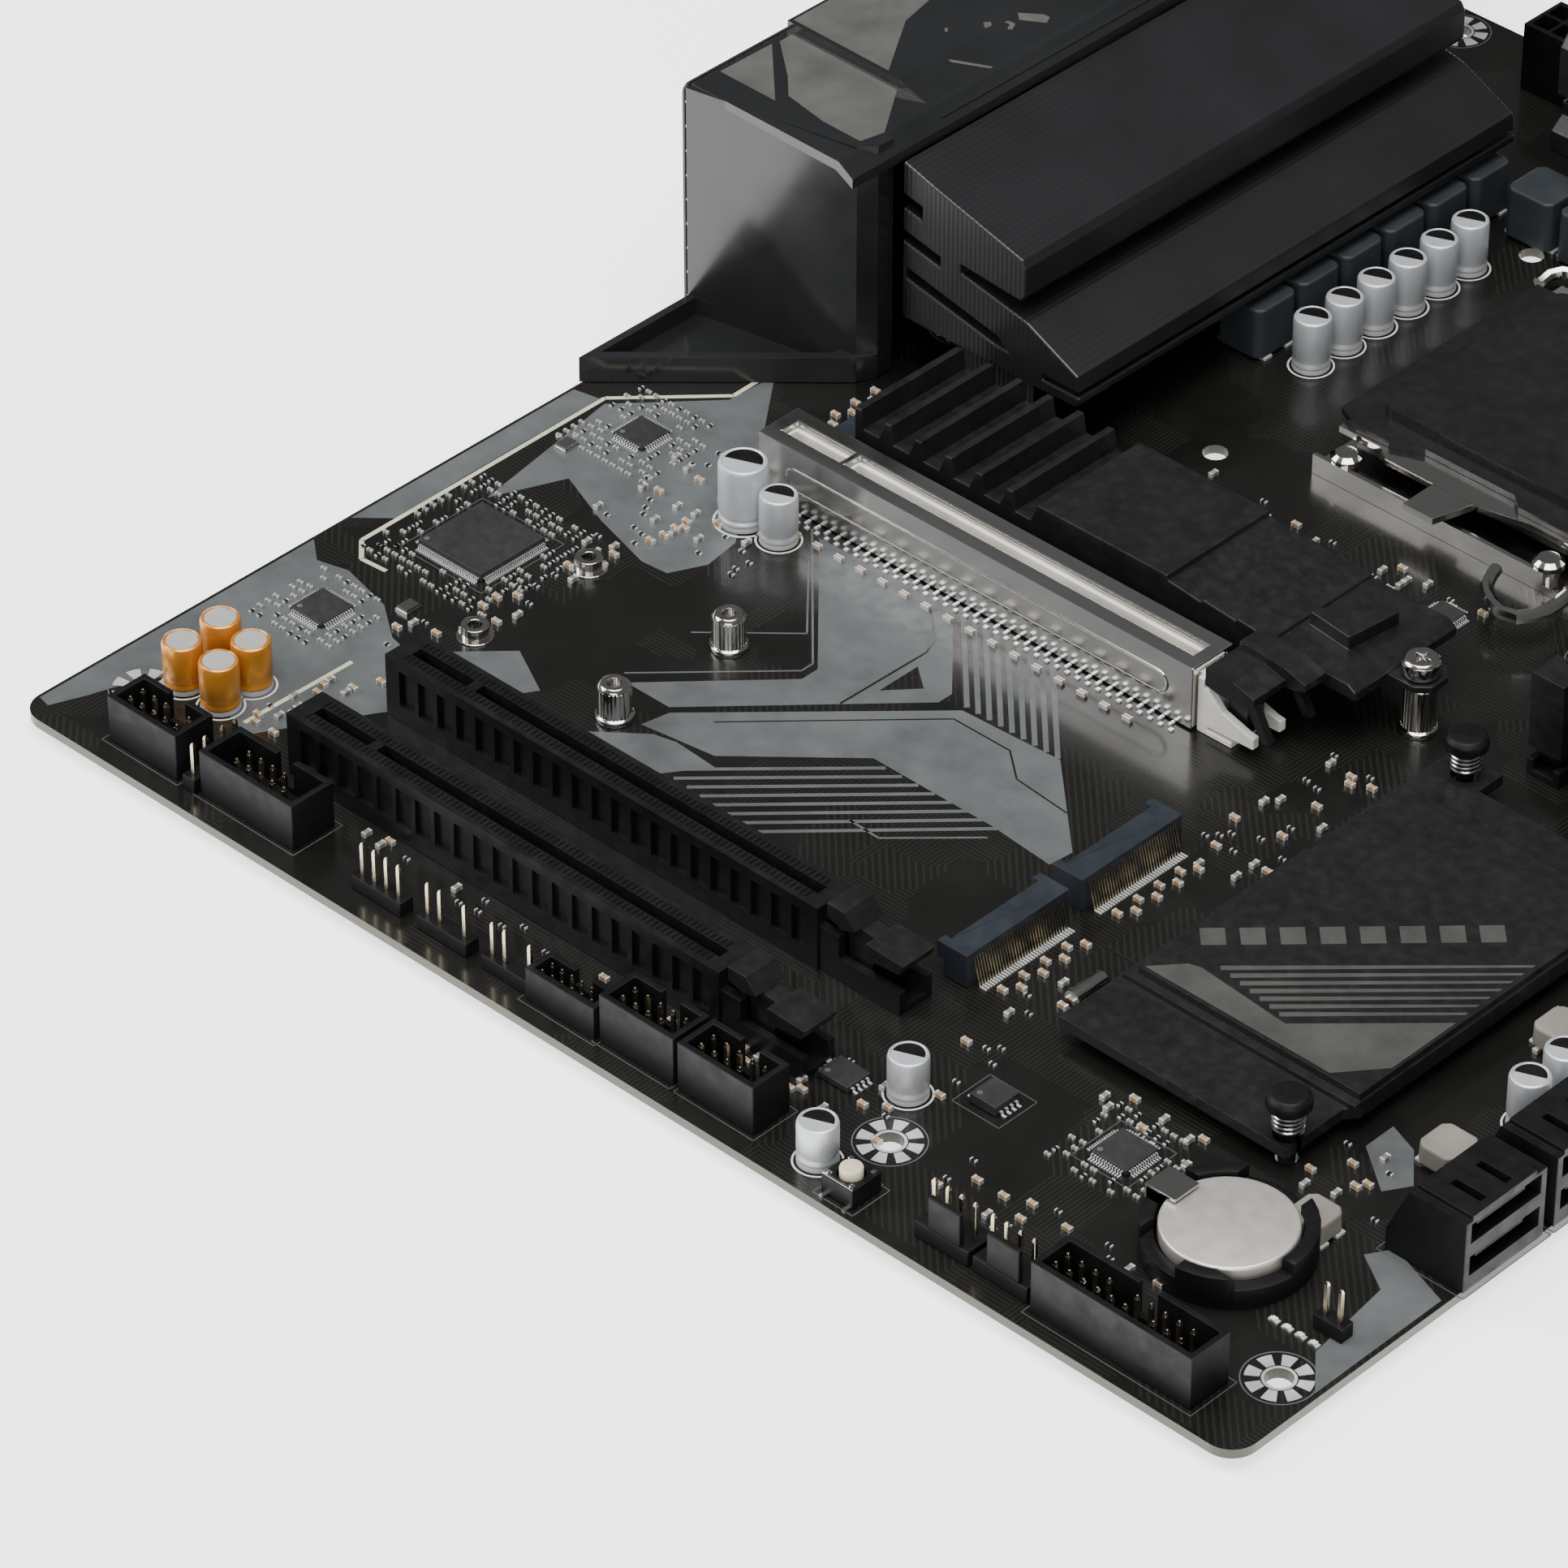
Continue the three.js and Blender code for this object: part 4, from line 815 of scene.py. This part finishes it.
def memory_contacts():
    """Gold contacts inside the memory slots, with a gap at the module's key."""
    contacts = Shape()
    for index in range(4):
        x0, x1, y0, y1, z0, z1 = extent(f"memory_slot_{index + 1}")
        middle = (x0 + x1) / 2
        for k in range(110):
            y = y0 + 8 + 1.2 * k
            if abs(y - (y0 + MEMORY_KEY)) < 1.6 or y > y1 - 6:
                continue
            for side in (-1, 1):
                contacts.block(middle + side * 0.62, y, 0.2, 0.5, 3.4, 8.2)
    contacts.make("memory_contacts", "gold", slot="nickel")


SPRING_BOTTOM = 5.35
SPRING_HEIGHT = 3.65
SPRING_RADIUS = 2.2
SPRING_TURNS = 5


def springs():
    """Coil springs under the heads of the two push pins, clear of the heatsink at full press."""
    steps = SPRING_TURNS * 20
    for index in (1, 2):
        x0, x1, y0, y1, z0, z1 = extent(f"push_pin_{index}")
        x, y = (x0 + x1) / 2, (y0 + y1) / 2
        points = []
        for k in range(steps + 1):
            angle = 2 * math.pi * k / 20
            across = (x + SPRING_RADIUS * math.cos(angle), y + SPRING_RADIUS * math.sin(angle))
            points.append((*across, SPRING_BOTTOM + SPRING_HEIGHT * k / steps))
        coil = Shape().tube(points, 0.28, 8)
        coil.make(f"push_pin_spring_{index}", "spring", f"push_pin_{index}", slot="nickel")


REAR_PORTS = (
    "network_port_stack", "usb_port_stack_1", "usb_port_stack_2", "video_port_stack", "audio_jack_row",
)


def port_tongues():
    """Contact tongues in the rear port mouths, and the contacts on them."""
    tongues, strips = Shape(), Shape()
    for node in ("network_port_stack", "usb_port_stack_1", "usb_port_stack_2"):
        x0, x1, y0, y1, z0, z1 = extent(node)
        middle = (y0 + y1) / 2
        for z in (4.6, 11.4):
            tongues.box(1.0, 9.8, middle - 5.4, middle + 5.4, z, z + 1.6)
            for k in range(4):
                strips.box(1.6, 9.0, middle - 4.2 + 2.5 * k, middle - 3.2 + 2.5 * k, z - 0.05, z + 0.1)
    x0, x1, y0, y1, z0, z1 = extent("network_port_stack")
    for k in range(8):
        y = (y0 + y1) / 2 - 3.6 + 1.02 * k
        strips.box(3.0, 11.5, y, y + 0.35, 22.6, 22.9)
    x0, x1, y0, y1, z0, z1 = extent("video_port_stack")
    middle = (y0 + y1) / 2
    tongues.box(1.0, 7.6, middle - 5.6, middle + 5.6, 4.4, 5.4)
    tongues.box(1.0, 7.6, middle - 5.6, middle + 5.6, 14.9, 16.1)
    tongues.make("port_tongues", "black", bevel=0.1, slot="black_plastic")
    strips.make("port_contacts", "gold", slot="nickel")


JACK_PITCH = 12.6
JACK_HEIGHT = 7
COLLAR_RADIUS = 2.95


def jack_collars():
    """A thin ring round the mouth of each of the three audio jacks."""
    collars = Shape()
    x0, x1, y0, y1, z0, z1 = extent("audio_jack_row")
    turns = [math.pi * n / 12 for n in range(25)]
    for k in range(3):
        y = y0 + 6 + JACK_PITCH * k
        circle = []
        for turn in turns:
            across, up = COLLAR_RADIUS * math.cos(turn), COLLAR_RADIUS * math.sin(turn)
            circle.append((x0 - 0.2, y + across, JACK_HEIGHT + up))
        collars.tube(circle, 0.3, 8)
    collars.make("jack_collars", "can_top", slot="nickel")


def solder_places():
    """Even rows of joints under four headers, the slots, the power connectors and the rear ports."""
    rows = [(x, y) for start in (41.1, 122.1, 137.7) for x in columns_from(start, 5) for y in (6.9, 9.4)]
    rows += [(x, 10.0) for x in columns_from(206.9, 8)]
    for node in CARD_SLOTS:
        x0, x1, y0, y1, z0, z1 = extent(node)
        rows += [(x0 + 4 + 2.0 * k, (y0 + y1) / 2 + side) for k in range(41) for side in (-1.6, 1.6)]
    for index in range(4):
        x0, x1, y0, y1, z0, z1 = extent(f"memory_slot_{index + 1}")
        rows += [((x0 + x1) / 2 + side, y0 + 12 + 2.4 * k) for k in range(54) for side in (-1.5, 1.5)]
    for node in ("main_power_connector", "processor_power_connector"):
        x0, x1, y0, y1, z0, z1 = extent(node)
        rows += [(x0 + 2.8 + 4.2 * i, y0 + 2.6 + 4.2 * k)
                 for i in range(int((x1 - x0) / 4.2)) for k in range(int((y1 - y0) / 4.2))]
    for node in REAR_PORTS:
        x0, x1, y0, y1, z0, z1 = extent(node)
        count = int((y1 - y0) / 2.5) - 1
        rows += [(x0 + 8 + 3 * i, y0 + 3 + 2.5 * k) for i in range(2) for k in range(count)]
    return rows


def solder_joints():
    """Cut pins in cones of solder on the underside."""
    joints = Shape()
    for x, y in solder_places():
        joints.lathe(x, y, [(0.85, -1.6), (0.5, -1.85), (0.3, -2.3), (0.26, -2.7)], 8)
    joints.make("solder_joints", "tin", slot="nickel")


def card_nuts():
    """Two short nuts that take a small card's screws."""
    nuts = Shape()
    for x, y in ((36.8, 85.2), (36.8, 60.6)):
        nuts.ring(x, y, 1.1, 2.2, 0, 2.2, sides=24)
        nuts.ring(x, y, 1.1, 3.0, 0, 0.25, sides=24)
    nuts.make("card_nuts", "nickel", bevel=0.12, slot="nickel")


def crystals():
    """A round crystal lying down, and two flat ones."""
    cans = Shape()
    cans.tube([(163.4, y, 1.5) for y in (56.4, 56.6, 62.8, 63.0)], 1.45, 24)
    for x, y in ((24.4, 58.4), (11.0, 106.0)):
        cans.block(x, y, 2.6, 3.2, 0, 0.4)
        cans.block(x, y, 2.6 * 0.86, 3.2 * 0.9, 0.4, 0.8, 0.94)
    cans.make("crystal_cans", "nickel", slot="nickel")


def standoff_ribs():
    """Knurls round the three standoffs."""
    ribs = Shape()
    for node in ("storage_standoff_1", "storage_standoff_2", "heatsink_standoff"):
        x0, x1, y0, y1, z0, z1 = extent(node)
        x, y = (x0 + x1) / 2, (y0 + y1) / 2
        for k in range(28):
            turn = 360 * k / 28
            ribs.ring(x, y, 2.4, 2.72, 1.2, z1 - 0.7, turn, turn + 6)
    ribs.make("standoff_ribs", "nickel", slot="nickel")


def signal_lamps():
    lamps, ends = Shape(), Shape()
    for k in range(4):
        x = 229.2 + 2.4 * k
        lamps.block(x, 25, 0.9, 0.8, 0, 0.55)
        ends.block(x, 25, 1.7, 0.8, 0, 0.25)
    lamps.make("signal_lamps", "pale", bevel=0.08, slot="cream_plastic")
    ends.make("signal_lamp_ends", "tin", slot="nickel")


def clear_pins():
    """Two pins on a plain base, bridged to clear the board's settings."""
    pin_field("clear_pins", columns_from(235.1, 2), (28.8,), 2.5, 8.2)
    base = Shape().box(233.8, 239.0, 27.5, 30.1, 0, 2.5)
    base.make("clear_pin_base", "black", bevel=0.15, slot="black_plastic")


def button_details():
    """Steel top plate, four rivets and the legs of the push button."""
    x0, x1, y0, y1, z0, z1 = extent("button_body")
    plate = Shape().box(x0 + 0.1, x1 - 0.1, y0 + 0.1, y0 + 0.5, z1, z1 + 0.12)
    for x in (x0 + 0.8, x1 - 0.8):
        for y in (y0 + 0.8, y1 - 0.8):
            plate.lathe(x, y, [(0.45, z1), (0.45, z1 + 0.15), (0.3, z1 + 0.3), (0.01, z1 + 0.34)], 16)
        plate.box(x - 0.35, x + 0.35, y0 - 1.0, y1 + 1.0, 0, 0.25)
    plate.make("button_rivets", "nickel", slot="nickel")


# ---- Printed marks ------------------------------------------------------------------------------

INK_TOP = 0.035


def stroke(a, b, width):
    """The four corners of a line of even width from a to b."""
    (ax, ay), (bx, by) = a, b
    length = math.hypot(bx - ax, by - ay)
    nx = -(by - ay) / length * width / 2
    ny = (bx - ax) / length * width / 2
    return [(ax + nx, ay + ny), (ax - nx, ay - ny), (bx - nx, by - ny), (bx + nx, by + ny)]


def line(shape, points, width, closed=False):
    """A printed line of even width along board points."""
    ends = points[1:] + points[:1] if closed else points[1:]
    for a, b in zip(points, ends):
        shape.prism(stroke(a, b, width), 0, INK_TOP)


def rectangle(x0, x1, y0, y1):
    return [(x0, y0), (x1, y0), (x1, y1), (x0, y1)]


def outline_of(shape, node, margin=0.8, width=0.16):
    x0, x1, y0, y1, z0, z1 = extent(node)
    line(shape, rectangle(x0 - margin, x1 + margin, y0 - margin, y1 + margin), width, True)


def stripes(shape, first, last, count, width):
    """Evenly spaced printed lines, from one (start, end) pair to another."""
    for k in range(count):
        part = k / (count - 1)
        ends = [tuple(a + (b - a) * part for a, b in zip(p, q)) for p, q in zip(first, last)]
        line(shape, ends, width)


def grey_print():
    """Large grey areas, stripes and lines of the board's decoration."""
    ink = Shape()
    areas = [
        [(57, 115.5), (84.5, 116.5), (99.5, 100), (99.5, 97), (71, 68), (62, 68), (80.5, 87), (80.5, 90.5)],
        [(72, 67), (103.5, 98), (122.5, 99), (139, 83.5), (138.5, 79), (126.5, 80), (102, 80), (84.5, 64),
         (71, 62)],
        [(60, 52), (65, 54), (74, 61.5), (78, 62.5), (86.5, 62), (80, 53)],
        [(0.6, 4), (0.6, 61), (5, 57.5), (10.5, 59), (21, 56.5), (28, 51.5), (32.5, 50.5), (44.5, 62.5),
         (54, 57.5), (40, 36), (30, 19), (13, 24.5), (8, 17), (5.5, 9.5), (3, 3.5)],
        [(12, 87.5), (7, 118.5), (20.5, 133), (21, 143), (34.5, 125.5), (48.5, 105.5), (49.5, 98.5),
         (46.5, 92.5), (41.5, 92), (29, 95.5), (17.5, 100)],
        [(0.6, 69), (0.6, 118), (5.4, 119), (5.4, 87.5), (6, 74)],
        [(222, 56), (214, 62), (214, 68), (219.5, 66), (224.5, 60)],
        [(243, 17.5), (243, 44), (231.5, 48), (229, 44), (235.5, 40), (237.5, 24)],
    ]
    for area in areas:
        ink.prism(area, 0, INK_TOP - 0.01)
    stripes(ink, [(81, 56), (105, 79.5)], [(101.5, 54.5), (127.5, 80.5)], 8, 0.75)
    stripes(ink, [(86, 117), (103.5, 99)], [(104.5, 117), (122, 99)], 9, 0.85)
    line(ink, [(54.5, 116.5), (79, 91), (79, 88.5), (60, 69.5)], 0.35)
    line(ink, [(60, 84), (73, 96), (60, 110)], 0.3)
    line(ink, [(110, 66.5), (116, 66.3), (127.5, 77.5)], 0.4)
    ink.make("grey_print", "ink", slot="board")
    gaps = Shape()
    line(gaps, [(78.5, 70), (104, 95.5), (115.5, 95.5), (121, 91), (132, 90)], 0.3)
    line(gaps, [(80, 116), (88.5, 108), (89.5, 105), (89, 86.5)], 0.4)
    gaps.prism([(91, 93), (91, 101.5), (95.5, 98)], 0, INK_TOP)
    gaps.make("dark_print", "board", slot="board")


def pale_print():
    """Pale yellow-green lines, and fine outlines around the sockets and chips."""
    pale, thin = Shape(), Shape()
    line(pale, [(20.1, 140.3), (20.2, 134.3), (5.9, 119.7), (6.1, 66.0), (9.7, 62.5), (14.8, 62.9)], 0.8)
    line(pale, [(27.6, 21.0), (28.1, 42.9)], 0.8)
    pale.make("pale_print", "pale_ink", slot="board")
    for node in ("audio_header", "serial_header", "usb_header_1", "usb_header_2", "front_panel_header",
                 "drive_connector_1", "drive_connector_2", "service_header", "button_body"):
        outline_of(thin, node)
    chip_frames = (
        (169.7, 33.2, 9, 8), (20.6, 77.9, 18, 18), (190.7, 37.2, 10.5, 10.5), (15.2, 48.9, 10.5, 10.5),
        (17.5, 116.3, 10, 10),
    )
    for x, y, w, d in chip_frames:
        line(thin, rectangle(x - w / 2, x + w / 2, y - d / 2, y + d / 2), 0.15, True)
    thin.make("thin_print", "cover_ink", slot="board")


def heatsink_print():
    """Grey corner shape and stripes on the chipset heatsink, with a plain row of blocks above them."""
    x0, x1, y0, y1, z0, z1 = extent("chipset_heatsink")
    ink = Shape()
    corner = [(169.9, 64.6), (174, 69.4), (176, 70), (193, 68.6), (210.4, 85.5), (210.4, 71.5), (204.8, 64.6)]
    ink.prism(corner, z1, z1 + INK_TOP)
    for k in range(7):
        part = k / 6
        start = (178 + 13 * part, 71.8 - 2.2 * part)
        end = (210.2, 103.5 - 15 * part)
        half = 0.36
        stripe = [(start[0] + half, start[1] - half), (end[0], end[1] - 2 * half), end,
                  (start[0] - half, start[1] + half)]
        ink.prism(stripe, z1, z1 + INK_TOP)
    for k in range(8):
        x = 172.5 + 4.1 * k
        y = 73.8 + 4.05 * k
        ink.prism([(x, y), (x + 2.6, y + 2.6), (x - 0.2, y + 5.4), (x - 2.8, y + 2.8)], z1, z1 + INK_TOP)
    ink.make("heatsink_print", "heatsink_ink", slot="anodised_metal")


def on_raised_roof(x):
    """Height of the shroud's raised roof panel at x, with its steeper front part beyond 24."""
    return 46 - 0.6 * (x + 0.4) / 24.4 if x < 24 else 45.4 - 2.8 * (x - 24) / 9.5


def on_lower_roof(x):
    """Height of the shroud's lower roof at x."""
    return 44.1 - 0.5 * (x + 0.4) / 31.9


def roof_patch(shape, points, height=on_raised_roof):
    """A thin printed patch that follows the slope of the roof."""
    low = [(x, y, height(x) - 0.05) for x, y in points]
    high = [(x, y, height(x) + 0.04) for x, y in points]
    shape.loft(low + high, len(points))


def cover_print():
    """Grey areas and outlined marks on the roof of the rear shroud."""
    ink = Shape()
    roof_patch(ink, [(0.2, 169), (21, 169), (13, 181.5), (11.5, 188.5), (0.2, 199)])
    lower = [(1, 165), (9, 158.5), (13, 154.5), (22, 153), (30, 153), (31, 157.5), (24, 167.8), (1, 167.8)]
    roof_patch(ink, lower, on_lower_roof)
    roof_patch(ink, [(0.4, 152), (0.6, 163.6), (12.5, 152)], on_lower_roof)
    for (ax, ay), (bx, by) in (((22, 190), (25.5, 193.4)), ((24, 196), (27.5, 199.4))):
        roof_patch(ink, [(ax, ay), (ax + 1.2, ay - 1), (bx + 0.6, by - 1), (bx, by + 0.4), (bx - 1, by)])
    triangle = [(19, 184.5), (25.5, 178.5), (31, 184)]
    for a, b in zip(triangle, triangle[1:] + triangle[:1]):
        roof_patch(ink, stroke(a, b, 0.5))
    ink.make("cover_print", "cover_ink", slot="cover_plastic")


def shield_springs():
    """Nine small bumps up the end of the rear shield."""
    bumps = Shape()
    for k in range(9):
        z = 4 + 4.6 * k
        bumps.lathe(-0.5, 145.3, [(0.01, z), (0.22, z + 0.2), (0.22, z + 0.5), (0.01, z + 0.7)], 10)
    bumps.make("shield_springs", "nickel", slot="nickel")


camera()
studio()
dress_nodes()
hole_pads()
header_pins()
fan_headers()
strip_headers()
capacitors()
chokes()
chips()
clustered_parts()
scattered_parts()
card_contacts()
slot_comb()
armoured_slot_tails()
armour_groove()
storage_contacts()
memory_contacts()
springs()
port_tongues()
jack_collars()
solder_joints()
card_nuts()
crystals()
standoff_ribs()
signal_lamps()
clear_pins()
button_details()
grey_print()
pale_print()
heatsink_print()
cover_print()
shield_springs()
